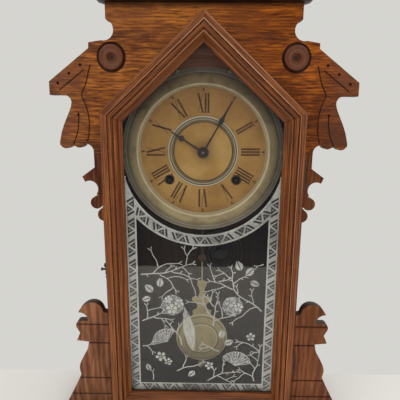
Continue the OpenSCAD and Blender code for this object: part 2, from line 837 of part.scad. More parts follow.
// The plates' outline with the holes of the pivots
module plate_outline(center_hole) {
    translate([0, dial_z]) difference() {
        polygon(concat(arc(plate_x - 6, verge_rise + 8, 6, 0, 90),
            arc(6 - plate_x, verge_rise + 8, 6, 90, 180),
            arc(6 - plate_x, -64, 6, 180, 270),
            arc(plate_x - 6, -64, 6, 270, 360)));
        translate([38, 28]) circle(14);
        translate([0, -41]) circle(14);
        for (side = [-1, 1]) translate([side * (plate_x + 9), 14]) circle(16);
        circle(center_hole);
        for (p = wind_places) translate(p) circle(wind_r + run_gap);
        for (p = [time_second, third, strike_second, strike_third, fly_place, hammer_place])
            translate(p) circle(pivot_r + run_gap);
        translate(escape) circle(escape_arbor_r + run_gap);
    }
}

// The plate, the stud of the minute wheel, and the post that the pendulum hangs from
module front_plate() {
    rod_y = front_y + rod_depth;
    z = dial_z + verge_rise;
    color("gold") {
        difference() {
            board(plate_depth, plate_t) plate_outline(center_r + run_gap);
            bar(0, z, pivot_r + run_gap, plate_depth - 1, inner_face + 1);
        }
        bar(motion_place[0], dial_z + motion_place[1], center_r, motion_depth - 0.5, plate_depth);
        translate([-3, rod_y - 2, z + 4.5]) cube([6, front_y + plate_depth - rod_y + 2, 4.5]);
        translate([-2, rod_y - 1.2, z + 0.5]) cube([4, 2.4, 4]);
    }
}

module back_plate() {
    color("gold") {
        board(back_face, plate_t) plate_outline(center_r + run_gap);
        for (x = [-60, 60], z = [-52, 48])
            bar(x, dial_z + z, 4, back_face + plate_t, case_d - back_t);
    }
}

module plate_pillars() {
    color("goldenrod") for (p = pillar_places) {
        at_level(p, 0, levels) circle(pillar_r);
        at_level(p, -plate_t - 2, 2) circle(r = pillar_r + 1, $fn = 6);
    }
}

// The click on a spoke of each great wheel, as it rides over a tooth, and its spring from the rim
module click() {
    circle(2);
    polygon([[-1.6, 1.2], [-3.3, -5.6], [-2, -6.1], [1.6, -1.2]]);
    polygon(stroke(curve([12, 3.8], [9.5, -1], [4, -5], [-1.6, -4.4], 8), 0.7));
    translate([12, 3.8]) circle(1.2);
}

module great_wheel(p, second) {
    wheel_level = 2.5;
    wheel_t = 2;
    top = wheel_level + wheel_t;
    difference() {
        union() {
            spoked_wheel(p, great_teeth, great_m, toward(p, second), wheel_level, wheel_t, wind_r + 2);
            at_level(p, wheel_level - 1.5, wheel_t + 1.5) circle(wind_r + 2);
            at_level(p, top, ratchet_level + ratchet_t - top)
                rotate(-45) translate([-2, 15.5]) mirror([1, 0]) click();
        }
        at_level(p, 0, 10) circle(wind_r + run_gap);
    }
}

module time_great_wheel() {
    color("gold") great_wheel(time_great, time_second);
}

module strike_great_wheel() {
    color("gold") great_wheel(strike_great, strike_second);
}

ratchet_level = 5.2;
ratchet_t = 1.4;
ratchet_teeth = 16;
spring_hub_r = wind_r + 0.9;

// The winding arbor: square in front, and behind it the ratchet and the hub of the spring
module winding_arbor(p, spring_level) {
    tooth = 360 / ratchet_teeth;
    difference() {
        bar(p[0], dial_z + p[1], wind_r, dial_depth - 2, back_face + plate_t);
        for (a = [0:90:270]) translate([p[0], front_y + dial_depth - 3, p[1] + dial_z]) rotate([0, a, 0])
            translate([wind_square / 2, 0, -5]) cube([5, 13, 10]);
    }
    at_level(p, ratchet_level, ratchet_t) polygon([for (i = [0:ratchet_teeth - 1])
        for (c = [[0, 7.6], [tooth - 1.5, 9.2]])
            c[1] * [cos(tooth * i + c[0]), sin(tooth * i + c[0])]]);
    at_level(p, spring_level, 12) circle(spring_hub_r);
}

module winding_arbor_time() {
    color("gray") winding_arbor(time_great, 12);
}

module winding_arbor_strike() {
    color("gray") winding_arbor(strike_great, 8);
}

// A half wound spring: from the arbor outwards, and off the last turn to a loop round a pillar
module mainspring(p, pillar, level, width) {
    strip = 0.6;
    coil_r = 20;
    inner_r = spring_hub_r + 0.1 + strip / 2;
    loop_r = pillar_r + 0.2 + strip / 2;
    way = pillar - p;
    end = toward(p, pillar) - acos((coil_r - loop_r) / norm(way));
    coils = [for (i = [0:160]) (inner_r + (coil_r - inner_r) * i / 160)
        * [cos(end + 18 * i), sin(end + 18 * i)]];
    at_level(p, level, width)
        polygon(stroke(concat(coils, arc(way[0], way[1], loop_r, end, end + 300, 20)), strip));
}

module mainsprings() {
    color("slategray") {
        mainspring(time_great, pillar_places[1], 11, 15);
        mainspring(strike_great, pillar_places[2], 7.5, 13);
    }
}

module time_second_wheel() {
    color("gold") {
        arbor(time_second, arbor_r);
        lantern(time_second, great_pinion, great_m, toward(time_second, time_great), 0.8, 6.2);
        spoked_wheel(time_second, second_teeth, second_m, toward(time_second, [0, 0]), 8, 1.4, arbor_r);
    }
}

module center_wheel() {
    color("gold") difference() {
        union() {
            at_level([0, 0], 0.3, levels - 0.6) circle(center_r + 1);
            lantern([0, 0], center_pinion, second_m, toward([0, 0], time_second), 6.6, 11);
            spoked_wheel([0, 0], center_teeth, center_m, toward([0, 0], third), 13, 1.2, center_r + 1);
        }
        bar(0, dial_z, center_r + run_gap, plate_depth, back_face + 1);
    }
}

module third_wheel() {
    color("gold") {
        arbor(third, third_pinion * center_m / 2 - 1.2 * center_m);
        lantern(third, third_pinion, center_m, toward(third, [0, 0]), 11, 16);
        spoked_wheel(third, third_teeth, third_m, toward(third, escape), 18, 1.1, arbor_r);
    }
}

// The escape wheel turns in front of the front plate, on the end of the last arbor
module escape_wheel() {
    tooth = 360 / escape_teeth;
    color("gold") {
        bar(escape[0], dial_z + escape[1], escape_arbor_r, inner_face + escape_level - 0.6,
            back_face + plate_t);
        lantern(escape, escape_pinion, third_m, toward(escape, third), 16.2, 21);
        at_level(escape, escape_level, 1.2) crossed(12, 2) polygon([for (i = [0:escape_teeth - 1])
            for (c = [[0, 12], [0.42, 14], [0.5, 14]])
                c[1] * [cos(tooth * (i + c[0])), sin(tooth * (i + c[0]))]]);
        at_level(escape, escape_level - 0.4, 2) circle(3.2);
    }
}

// Motion work in front of the plate

module center_arbor() {
    color("gray") {
        bar(0, dial_z, center_r, minute_depth - 2, back_face + plate_t);
        lantern([0, 0], 10, motion_m, toward([0, 0], motion_place), motion_level + 3.6, motion_level + 6.6);
    }
}

module minute_wheel() {
    angle = toward(motion_place, [0, 0]);
    color("gold") difference() {
        union() {
            spoked_wheel(motion_place, 30, motion_m, angle, motion_level + 4.7, 0.9, 2.4);
            lantern(motion_place, 8, motion_m, angle, motion_level, motion_level + 4.2);
            at_level(motion_place, motion_level, 5.6) circle(2);
        }
        at_level(motion_place, motion_level - 1, 9) circle(center_r + run_gap);
    }
}

module hour_wheel() {
    color("gold") difference() {
        union() {
            spoked_wheel([0, 0], 32, motion_m, toward([0, 0], motion_place), motion_level + 1.3, 1.1, 2.6);
            bar(0, dial_z, pipe_r, hour_depth - 0.3, motion_depth + 3.2);
        }
        bar(0, dial_z, center_r + run_gap, hour_depth - 1, motion_depth + 4);
    }
}

// The verge: bent strip over the escape wheel, its arbor, and the crutch that leads the rod

module verge() {
    z = dial_z + verge_rise;
    wire = 1.2;
    drop = 26;
    y = front_y + 47.4;
    slot = rod_r + 0.3;
    color("slategray") {
        bar(0, z, pivot_r, 47, inner_face + 0.6);
        board(inner_face + escape_level - 0.2, 1.8) translate([0, z]) polygon(stroke(
            [[-8, -7], [-6.6, -2.5], [-2.2, 1.2], [3, 1.9], [8.5, 1.6], [10.9, 0.2]], 1.4));
        translate([-wire / 2, y, z - drop]) cube([wire, wire, drop]);
        translate([-slot - 1, y, z - drop]) cube([2 * slot + 2, wire, wire]);
        mirrored() translate([slot, front_y + rod_depth - 2, z - drop])
            cube([1, y + wire - front_y - rod_depth + 2, wire]);
    }
}

// Pendulum: spring strip, rod with a stirrup round the hour pipe, hook, bob and rating nut

rod_depth = 44.5;
bend_z = dial_z + verge_rise;
bob_z = bend_z - pendulum_l;
hook_z = bob_z + 114;
hook_r = 5;

module pendulum_rod() {
    y = front_y + rod_depth;
    ring_w = 1.6;
    color("goldenrod") {
        translate([-1.5, y - 0.2, bend_z - 9]) cube([3, 0.4, 9.2]);
        translate([-2, y - rod_r, bend_z - 11]) cube([4, 2 * rod_r, 3]);
        translate([0, y, dial_z + stirrup_r + ring_w / 2]) cylinder(r = rod_r,
            h = verge_rise - 9.5 - stirrup_r - ring_w / 2);
        board(rod_depth - 0.8, 1.6) translate([0, dial_z]) difference() {
            circle(stirrup_r + ring_w);
            circle(stirrup_r);
        }
        translate([0, y, hook_z]) cylinder(r = rod_r, h = dial_z - stirrup_r - ring_w / 2 - hook_z);
        board(rod_depth - 1, 2) translate([0, hook_z]) circle(hook_r);
    }
}

module pendulum_bob() {
    y = front_y + rod_depth;
    top = bob_z + bob_r;
    h = bob_t / 2;
    stem_z = top + 46;
    color("gold") {
        turned(0, rod_depth + h, bob_z, [[0, 0], [bob_r - 4, 1], [bob_r, h - 0.8], [bob_r, h + 0.8],
            [bob_r - 2.5, h + 2], [bob_r - 4.5, h + 1.6], [bob_r - 12, bob_t - 0.8], [0, bob_t]]);
        board(rod_depth - 0.6, 1.2) translate([0, top - 1]) mirrored() polygon(concat(
            [[0, 0], [12, -3.4]],
            curve([12.5, 6], [5, 8], [4, 14], [9, 18]), arc(9.5, 22, 4, -70, 150, 8),
            curve([5, 27], [2.5, 30], [2.5, 36], [5.5, 41]), arc(3, 44.5, 3.6, -30, 90, 6), [[0, 50]]));
        translate([0, y, stem_z]) cylinder(r = rod_r, h = hook_z - hook_r - 0.2 - stem_z);
        translate([0, y, bob_z - bob_r - 7]) cylinder(r = rod_r, h = 8);
        translate([0, y, bob_z - bob_r - 6]) cylinder(r = 4.5, h = 3.5);
    }
}

// Strike train

module strike_second_wheel() {
    color("gold") {
        arbor(strike_second, arbor_r);
        lantern(strike_second, great_pinion, great_m, toward(strike_second, strike_great), 0.8, 6.2);
        spoked_wheel(strike_second, strike_second_teeth, strike_second_m,
            toward(strike_second, strike_third), 22, 1.2, arbor_r);
    }
}

module strike_third_wheel() {
    color("gold") {
        arbor(strike_third, arbor_r);
        lantern(strike_third, strike_third_pinion, strike_second_m, toward(strike_third, strike_second),
            20.4, 24.8);
        spoked_wheel(strike_third, strike_third_teeth, strike_third_m, toward(strike_third, fly_place),
            26.2, 1.1, arbor_r);
    }
}

module fly() {
    color("silver") {
        arbor(fly_place, fly_pinion * strike_third_m / 2 - 1.2 * strike_third_m);
        lantern(fly_place, fly_pinion, strike_third_m, toward(fly_place, strike_third), 24.4, 28.8);
        at_level(fly_place, 2.5, 14) translate([-13, -0.3]) square([26, 0.6]);
        at_level(fly_place, 2.5, 14) circle(2);
    }
}

// The hammer hangs beside the gong, its wire comes down between the plates

hammer_level = 30;
hammer_drop = 84;
head_l = 9;

module hammer() {
    depth = depth_of(hammer_level);
    y = front_y + depth;
    z = dial_z + hammer_place[1];
    color("dimgray") {
        arbor(hammer_place, arbor_r);
        translate([hammer_place[0], y, z - hammer_drop]) cylinder(r = 0.9, h = hammer_drop);
        bar_x(hammer_place[0] - head_l / 2, y, z - hammer_drop, 4.2, head_l);
        bar(hammer_place[0], z, 3, depth - 1.5, depth + 1.5);
    }
}

module gong() {
    x = hammer_place[0] + head_l / 2 + hammer_gap + gong_r;
    z = dial_z + hammer_place[1] - hammer_drop;
    depth = depth_of(hammer_level);
    strip = 1.5;
    color("dimgray") {
        board(depth - 1.5, 3) translate([x, z]) rotate(180)
            polygon(spiral(7.2, gong_r - strip / 2, gong_turns, strip, 24));
        bar(x, z, 7, depth - 3.5, case_d - back_t - 2);
        bar(x, z, 13, case_d - back_t - 3, case_d - back_t);
    }
}

// What is drawn

base_board();
base_moulding_front();
base_mouldings_side();
base_cleat();
side_board_left();
side_board_right();
back_board();
roof_board();
front_board();
front_stile_left();
front_stile_right();
front_rail();
rosettes();
base_scroll_left();
base_scroll_right();
cornice();
crest();
door_stile_left();
door_stile_right();
door_gable_left();
door_gable_right();
door_bottom_rail();
door_glass();
glass_putty();
hinge_case_leaves();
hinge_door_leaves();
latch_hook();
latch_screw();
latch_stud();
dial_blocks();
dial_pan();
dial_paper();
dial_bezel();
dial_center_ring();
winding_grommets();
minute_hand();
hour_hand();
center_arbor();
minute_wheel();
hour_wheel();
front_plate();
back_plate();
plate_pillars();
time_great_wheel();
strike_great_wheel();
winding_arbor_time();
winding_arbor_strike();
mainsprings();
time_second_wheel();
center_wheel();
third_wheel();
escape_wheel();
verge();
pendulum_rod();
pendulum_bob();
strike_second_wheel();
strike_third_wheel();
fly();
hammer();
gong();
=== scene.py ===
# %% [markdown]
# # A gingerbread shelf clock, dressed around its CAD model
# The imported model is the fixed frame: every board, wheel and hand is already in its place, in metres,
# with X to the right, Y towards the back and Z up. This file gives each part its wood, metal, paper or
# glass, rounds the sawn edges, prints the dial, and stencils the door's glass.

# %% Load the frame
import itertools
import json
import math
import random

import bmesh
import bpy
from mathutils import Matrix, Vector

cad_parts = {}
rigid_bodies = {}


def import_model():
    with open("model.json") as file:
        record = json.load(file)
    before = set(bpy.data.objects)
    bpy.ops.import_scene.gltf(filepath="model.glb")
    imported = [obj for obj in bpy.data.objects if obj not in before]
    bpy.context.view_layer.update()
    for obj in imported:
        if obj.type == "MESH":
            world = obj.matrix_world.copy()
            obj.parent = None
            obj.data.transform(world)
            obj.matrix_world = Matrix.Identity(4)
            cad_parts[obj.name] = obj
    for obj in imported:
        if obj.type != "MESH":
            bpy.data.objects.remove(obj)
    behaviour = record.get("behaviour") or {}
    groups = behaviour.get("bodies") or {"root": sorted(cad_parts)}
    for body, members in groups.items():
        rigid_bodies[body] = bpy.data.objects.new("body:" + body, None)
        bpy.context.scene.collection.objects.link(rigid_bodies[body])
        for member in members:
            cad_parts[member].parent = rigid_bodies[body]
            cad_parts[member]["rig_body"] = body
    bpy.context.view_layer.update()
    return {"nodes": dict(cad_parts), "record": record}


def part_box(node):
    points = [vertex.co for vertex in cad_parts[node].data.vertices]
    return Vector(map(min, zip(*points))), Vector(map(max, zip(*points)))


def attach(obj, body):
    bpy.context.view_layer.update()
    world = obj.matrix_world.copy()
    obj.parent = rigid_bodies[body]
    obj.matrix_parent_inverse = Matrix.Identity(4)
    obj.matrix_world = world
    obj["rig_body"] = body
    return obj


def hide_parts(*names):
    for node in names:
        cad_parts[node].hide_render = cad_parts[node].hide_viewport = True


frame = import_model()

MM = 0.001
NODES = frame["nodes"]
SLOTS = {part["node"]: part["material_slot"] for part in frame["record"]["subparts"]}

# %% [markdown]
# ## The camera
# The photograph was taken from in front of the dial, a little above it and half a metre away, looking
# twelve degrees down. The place, the turn and the focal length come from a fit to the door's corners and
# the ears, so the camera's three axes are worked out here from those angles and written as one matrix.

# %% Camera
FOCAL_PIXELS = 385
PICTURE_PIXELS = 400
SENSOR_MM = 36
CAMERA_PLACE = (0.0025, -0.4679, 0.3936)


def add_object(name, data):
    """A new object in the scene."""
    made = bpy.data.objects.new(name, data)
    bpy.context.scene.collection.objects.link(made)
    return made


pitch, yaw, roll = (math.radians(a) for a in (12.15, -0.72, 0.36))
forward = Vector((math.sin(yaw) * math.cos(pitch), math.cos(yaw) * math.cos(pitch), -math.sin(pitch)))
level = Vector((math.cos(yaw), -math.sin(yaw), 0))
upward = Vector((math.sin(yaw) * math.sin(pitch), math.cos(yaw) * math.sin(pitch), math.cos(pitch)))
across = level * math.cos(roll) + upward * math.sin(roll)
upright = upward * math.cos(roll) - level * math.sin(roll)
camera = add_object("camera", bpy.data.cameras.new("camera"))
camera.data.sensor_width = SENSOR_MM
camera.data.lens = SENSOR_MM * FOCAL_PIXELS / PICTURE_PIXELS
camera.data.clip_start = 0.01
axes = Matrix((across, upright, -forward)).transposed().to_4x4()
camera.matrix_world = Matrix.Translation(CAMERA_PLACE) @ axes
bpy.context.scene.camera = camera
bpy.context.scene.view_settings.view_transform = "Standard"
print("lens:", round(camera.data.lens, 2), "mm")

# %% [markdown]
# ## Writing shader maths as Python
# A material is a tree of nodes. Adding each Math node by hand hides the formula, so a small class wraps
# a socket and overloads the operators: an expression such as `1 - pores * 0.4` then adds its own nodes.
# Every other node comes from one function, which takes its type, what feeds its sockets and its settings.


# %% Helpers for materials
class Num:
    """A number that changes over a surface."""

    def __init__(self, paint, socket):
        self.paint, self.socket = paint, socket

    def __add__(self, other):
        return self.paint.math("ADD", self, other)

    def __sub__(self, other):
        return self.paint.math("SUBTRACT", self, other)

    def __rsub__(self, other):
        return self.paint.math("SUBTRACT", other, self)

    def __mul__(self, other):
        return self.paint.math("MULTIPLY", self, other)

    __radd__ = __add__

    def distance(self, other):
        return self.paint.math("ABSOLUTE", self - other, 0)

    def near(self, middle, width):
        """1 at the middle, and 0 further away than the width."""
        return 1 - self.distance(middle).between(width * 0.4, width)

    def between(self, low, high):
        """0 below low and 1 above high, with a smooth step between them."""
        made = self.paint.node("ShaderNodeMapRange", {"Value": self, "From Min": low, "From Max": high},
                               interpolation_type="SMOOTHSTEP")
        return Num(self.paint, made.outputs["Result"])


def feed(tree, socket, value):
    """Link another socket to this one, or set its own value."""
    if isinstance(value, Num):
        value = value.socket
    if isinstance(value, bpy.types.NodeSocket):
        tree.links.new(value, socket)
    elif isinstance(value, tuple) and len(value) == 3 and len(socket.default_value) == 4:
        socket.default_value = (*value, 1)
    else:
        socket.default_value = value


def add_node(tree, kind, inputs=None, **settings):
    made = tree.nodes.new(kind)
    for name, value in settings.items():
        setattr(made, name, value)
    for name, value in (inputs or {}).items():
        feed(tree, made.inputs[name], value)
    return made


class Paint:
    """One material, with its Principled shader."""

    def __init__(self, name, **sockets):
        self.material = bpy.data.materials.new(name)
        self.material.use_nodes = True
        self.tree = self.material.node_tree
        self.shader = self.tree.nodes["Principled BSDF"]
        for socket, value in sockets.items():
            self.set(socket.replace("_", " "), value)

    def set(self, name, value):
        feed(self.tree, self.shader.inputs[name], value)

    def node(self, kind, inputs=None, **settings):
        return add_node(self.tree, kind, inputs, **settings)

    def math(self, operation, a, b):
        return Num(self, self.node("ShaderNodeMath", {0: a, 1: b}, operation=operation).outputs[0])

    def mix(self, share, a, b, blend="MIX"):
        feeds = {0: share, 6: a, 7: b}
        return self.node("ShaderNodeMix", feeds, data_type="RGBA", blend_type=blend).outputs[2]

    def ramp(self, value, stops):
        made = self.node("ShaderNodeValToRGB", {"Fac": value})
        elements = made.color_ramp.elements
        while len(elements) < len(stops):
            elements.new(1)
        for element, (place, color) in zip(elements, stops):
            element.position, element.color = place, (*color, 1)
        return made.outputs["Color"]

    def place(self):
        return self.node("ShaderNodeTexCoord").outputs["Object"]

    def mapped(self, vector, **changes):
        return self.node("ShaderNodeMapping", {"Vector": vector, **changes}).outputs["Vector"]

    def part(self, vector, axis):
        return Num(self, self.node("ShaderNodeSeparateXYZ", {"Vector": vector}).outputs[axis])

    def along(self, axis):
        """Where a point lies along one axis of the clock, in metres."""
        return self.part(self.place(), axis)

    def facing(self):
        """-1 where the surface looks forward, and 1 where it looks back."""
        return self.part(self.node("ShaderNodeNewGeometry").outputs["Normal"], "Y")

    def noise(self, scale, detail, roughness=0.5, vector=None):
        made = self.node("ShaderNodeTexNoise", {
            "Vector": vector or self.place(), "Scale": scale, "Detail": detail, "Roughness": roughness})
        return Num(self, made.outputs["Fac"])

    def relief(self, height, distance, strength):
        feeds = {"Height": height, "Distance": distance, "Strength": strength}
        return self.node("ShaderNodeBump", feeds).outputs["Normal"]

    def bump(self, height, distance, strength):
        self.set("Normal", self.relief(height, distance, strength))


# %% [markdown]
# ## Oak
# The case is American oak under worn varnish, and one function makes all the woods. It turns the
# coordinates until the grain runs along X and draws every noise long in that direction: rings bent by a
# slow noise, soft bands, short dashes, hairs for the pores, and patches where the varnish has gone flat.
# Each kind of board adds its own wear and painted light: a painted shadow under the cornice, painted shade
# at the scrolls' feet, and painted highlights and groove shade on the door. Faces that look forward but lie
# behind the board's face are saw cuts, which hold dirt, and the inside of the case is painted nearly black
# as painted shade, lighter brown just under the roof, so that the movement hides behind the glass.

# %% Oak
TO_UP = (0, math.pi / 2, 0)
TO_UP_SIDE = (math.pi / 2, 0, math.pi / 2)
TO_BACK = (0, 0, -math.pi / 2)
FRONT_FACE, BACK_FACE = -0.041, 0.059
INSIDE_X, DOOR_X = 0.104, 0.1095
SHOULDER_Z, APEX_Z = 0.398, 0.4995
BASE_TOP = 0.028
ROOF_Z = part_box("roof_board")[0][2]
CORNICE_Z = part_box("cornice")[0][2]
SLOPE = math.atan2(APEX_Z - SHOULDER_Z, DOOR_X)
RINGS_PER_M = 1250
GOLDEN = (0.060, 0.017, 0.005), (0.150, 0.042, 0.007), (0.35, 0.112, 0.010)


def oak(name, turn=(0, 0, 0), tones=GOLDEN, gloss=0.44, seed=0.0, fine=1.0, long=1.0, cuts=False,
        depth=FRONT_FACE, wear_and_light=None, even=0.20, clouds=0.0):
    dark, middle, light = tones
    paint = Paint(name, Coat_Weight=0.04, Coat_Roughness=0.3, Specular_IOR_Level=0.2)
    board = paint.mapped(paint.place(), Rotation=turn, Location=(seed, seed * 0.7, seed * 0.3))

    def grain(scale, detail, roughness=0.5):
        return paint.noise(1.0, detail, roughness, paint.mapped(board, Scale=scale))

    drift = grain((6 / long, 9, 11), 2)
    bend = grain((16 / long, 20, 40), 2)
    height = paint.part(board, "Z") + paint.part(board, "Y") * 0.3
    rings = (paint.math("SINE", height * RINGS_PER_M * fine + bend * 17, 0) + 1) * 0.5
    bands = grain((38 / long, 90 * fine, 200 * fine), 3, 0.6)
    dashes = grain((75 / long, 180 * fine, 460 * fine), 3, 0.7)
    hairs = grain((90 / long, 900, 1500), 2, 0.6)
    patch = grain((17 / long, 20, 34), 3, 0.6)
    tone = rings * even + bands.between(0.3, 0.7) * 0.30 + dashes.between(0.28, 0.72) * 0.32
    tone = tone + (drift - 0.5) * 0.6 + 0.07 + (0.20 - even) * 0.5
    if clouds:
        tone = tone + (grain((14, 40, 75), 3, 0.6) - 0.5) * clouds
    pores = hairs.between(0.58, 0.74) * (1 - tone.between(0.35, 0.9) * 0.6)
    color = paint.ramp(tone, [(0.27, dark), (0.50, middle), (0.75, light)])
    color = paint.mix(patch.between(0.46, 0.68) * 0.6, color, middle)
    color = paint.mix(pores * 0.7, color, tuple(c * 0.5 for c in dark))
    if wear_and_light:
        color = wear_and_light(paint, color, patch)
    if cuts:
        behind = paint.along("Y").between(depth + 0.0003, depth + 0.0009)
        dirt_and_shade = behind * (1 - paint.facing().between(-0.5, 0.3))
        color = paint.mix(dirt_and_shade * 0.85, color, (0.022, 0.009, 0.005))
    # Painted shade: the case's inner faces are painted nearly black, lighter brown just under the roof.
    high = paint.along("Z").between(ROOF_Z - 0.04, ROOF_Z)
    stain_and_shade = paint.mix(high, (0.009, 0.006, 0.005), (0.15, 0.055, 0.024))
    paint.set("Base Color", paint.mix(inside_shade_mask(paint) * 0.93, color, stain_and_shade))
    paint.set("Roughness", gloss + pores * 0.3 + (drift - 0.5) * 0.2)
    paint.bump(dashes * 0.5 - pores, 0.0003, 0.5)
    return paint.material


def inside_shade_mask(paint):
    """1 on the inner faces of the case, which get painted shade, nearly black, and 0 on the outer ones."""
    wide = 1 - paint.along("X").distance(0).between(INSIDE_X + 0.0002, INSIDE_X + 0.0006)
    deep, high = paint.along("Y"), paint.along("Z")
    front = deep.between(FRONT_FACE + 0.0110, FRONT_FACE + 0.0116)
    back = 1 - deep.between(BACK_FACE + 0.0006, BACK_FACE + 0.0012)
    over_base = high.between(BASE_TOP - 0.0005, BASE_TOP - 0.0001)
    under_roof = 1 - high.between(ROOF_Z + 0.0004, ROOF_Z + 0.0008)
    return wide * front * back * over_base * under_roof


def sawn(paint):
    """1 on the faces that don't look forward."""
    return paint.facing().between(-0.8, -0.3)


def front_wear_and_shadow(paint, color, patch):
    """The sawn front: redder to the right, dull at the ears' tips, painted shadow under the cornice, darker
    sawn edges.
    """
    right = paint.along("X").between(-0.04, 0.09)
    color = paint.mix(right, color, (0.94, 0.76, 0.30), "MULTIPLY")
    tips = paint.along("X").distance(0).between(0.112, 0.155)
    color = paint.mix(tips * (0.15 + patch * 0.45), color, (0.120, 0.050, 0.030))
    # Painted shadow of the cornice on the board just under it.
    dirt_and_shade = paint.along("Z").between(CORNICE_Z - 0.007, CORNICE_Z)
    color = paint.mix(dirt_and_shade * 0.75, color, (0.016, 0.007, 0.004))
    return paint.mix(sawn(paint) * 0.6, color, (0.026, 0.014, 0.009))


def scroll_tone_and_shade(paint, color, patch):
    """Darker sawn edges, a redder board on the right, and painted shade that darkens the foot."""
    right = paint.along("X").between(0, 0.1)
    color = paint.mix(right, color, (0.86, 0.70, 0.52), "MULTIPLY")
    # Painted shade: darker towards the foot.
    low = 1 - paint.along("Z").between(0.030, 0.085)
    color = paint.mix(low * 0.45, color, (0.055, 0.018, 0.008))
    return paint.mix(sawn(paint) * 0.85, color, (0.030, 0.020, 0.015))


# Lines along the door's moulding, painted highlights on the arrises and painted shade in the grooves: way
# in from its outer edge, half width and share
DOOR_ARRISES = ((0.0068, 0.0008, 1), (0.0149, 0.0007, 0.5), (0.0011, 0.0008, 0.5))
DOOR_GROOVES = ((0.0081, 0.0010, 1), (0.0138, 0.0009, 0.7))
DOOR_FACE = -0.0500


def door_highlights_and_shade(paint, color, patch):
    """Thin pale lines along the moulding's arrises, painted highlights patchy like rubbed varnish, and
    painted shade in the grooves.
    """
    wide = paint.along("X").distance(0)
    gable = APEX_Z * math.cos(SLOPE) - wide * math.sin(SLOPE) - paint.along("Z") * math.cos(SLOPE)
    inward = paint.math("MINIMUM", DOOR_X - wide, gable)
    front = 1 - paint.along("Y").between(DOOR_FACE, DOOR_FACE + 0.0005)
    arris_highlight, dirt_and_shade = (sum(inward.near(middle, width) * share for middle, width, share in lines)
                    for lines in (DOOR_ARRISES, DOOR_GROOVES))
    # The painted highlights are stronger on the right and on the gables, where the light falls.
    arris_highlight = arris_highlight * (paint.along("X").between(-0.05, 0.05) * 0.6 + 0.5)
    arris_highlight = arris_highlight * (paint.along("Z").between(SHOULDER_Z - 0.015, SHOULDER_Z + 0.01) * 0.6 + 0.4)
    color = paint.mix(front * dirt_and_shade * 0.8, color, (0.018, 0.007, 0.004))
    return paint.mix(front * arris_highlight * (patch.between(0.35, 0.6) * 0.5 + 0.3), color, (0.55, 0.34, 0.22))


RED = (0.048, 0.013, 0.005), (0.108, 0.031, 0.009), (0.205, 0.064, 0.016)
# Painted shade: the cornice's wood is made nearly black for the shadow under its overhang.
CORNICE_SHADE = (0.012, 0.005, 0.0025), (0.023, 0.008, 0.0033), (0.042, 0.015, 0.006)
DOOR = dict(tones=((0.070, 0.020, 0.007), (0.142, 0.042, 0.012), (0.265, 0.086, 0.020)), gloss=0.38)
SCROLL_WOOD = dict(tones=((0.085, 0.027, 0.011), (0.152, 0.055, 0.024), (0.26, 0.105, 0.047)), wear_and_light=scroll_tone_and_shade)
PINE = dict(tones=((0.17, 0.085, 0.035), (0.27, 0.150, 0.065), (0.38, 0.235, 0.11)), gloss=0.7, fine=0.7,
            long=7)
STILE = dict(fine=2.3, long=2.5, wear_and_light=door_highlights_and_shade, **DOOR)
WOODS = {name: oak(name, **looks) for name, looks in {
    "oak_across": dict(cuts=True),
    "oak_front": dict(fine=1.6, cuts=True, wear_and_light=front_wear_and_shadow, even=0.12, clouds=0.65),
    "oak_crest": dict(seed=0.27, cuts=True, depth=FRONT_FACE + 0.0015),
    "oak_up": dict(turn=TO_UP, seed=0.31, long=2.5, tones=RED),
    "oak_side": dict(turn=TO_UP_SIDE, seed=0.77, long=4, tones=RED),
    "oak_scroll": dict(turn=TO_UP, seed=0.53, fine=0.7, long=2, cuts=True, **SCROLL_WOOD),
    "oak_cornice": dict(seed=0.19, long=2, tones=CORNICE_SHADE),
    "oak_block": dict(tones=((0.06, 0.022, 0.010), (0.10, 0.038, 0.017), (0.14, 0.055, 0.025))),
    "oak_molding": dict(seed=0.12, long=2, **DOOR),
    "oak_molding_back": dict(turn=TO_BACK, seed=0.21, long=2, **DOOR),
    "oak_edge": dict(tones=((0.022, 0.008, 0.004), (0.04, 0.014, 0.007), (0.075, 0.026, 0.011)),
                     gloss=0.36),
    "door_edge": dict(tones=((0.05, 0.016, 0.006), (0.13, 0.042, 0.014), (0.25, 0.09, 0.03)), gloss=0.32),
    "door_across": dict(seed=0.62, **STILE),
    "door_up": dict(turn=TO_UP, seed=0.44, **STILE),
    "door_rise": dict(turn=(0, SLOPE, 0), seed=0.66, **STILE),
    "door_fall": dict(turn=(0, -SLOPE, 0), seed=0.91, **STILE),
    "pine_up": dict(turn=TO_UP, seed=0.08, **PINE),
    "pine_across": dict(seed=0.18, **PINE),
}.items()}
print("woods:", len(WOODS))

# %% [markdown]
# ## Sawn edges
# A CAD board has knife edges, and a real one was rubbed round by sandpaper and a century of dusting. A
# copy of each visible board is merged into one skin, its flat triangles are joined again, and a Bevel
# modifier rounds every edge. The bevel's own faces get a second, darker wood, because varnish and
# polish gather there. The copy then stands for the CAD node, which stays as the collision shape,
# hidden.


# %% Rounded boards
def frozen(obj, name):
    """The object's evaluated mesh, in a new object at the origin."""
    bpy.context.view_layer.update()
    graph = bpy.context.evaluated_depsgraph_get()
    mesh = bpy.data.meshes.new_from_object(obj.evaluated_get(graph))
    bpy.data.objects.remove(obj)
    return add_object(name, mesh)


def mesh_of(shape, name):
    """A mesh from an edit mesh, which is used up."""
    mesh = bpy.data.meshes.new(name)
    shape.to_mesh(mesh)
    shape.free()
    return mesh


def smooth(mesh, degrees):
    mesh.shade_smooth()
    mesh.set_sharp_from_angle(angle=math.radians(degrees))


SAME_POINT, FLAT, SHARP = 1e-5, math.radians(0.5), math.radians(38)


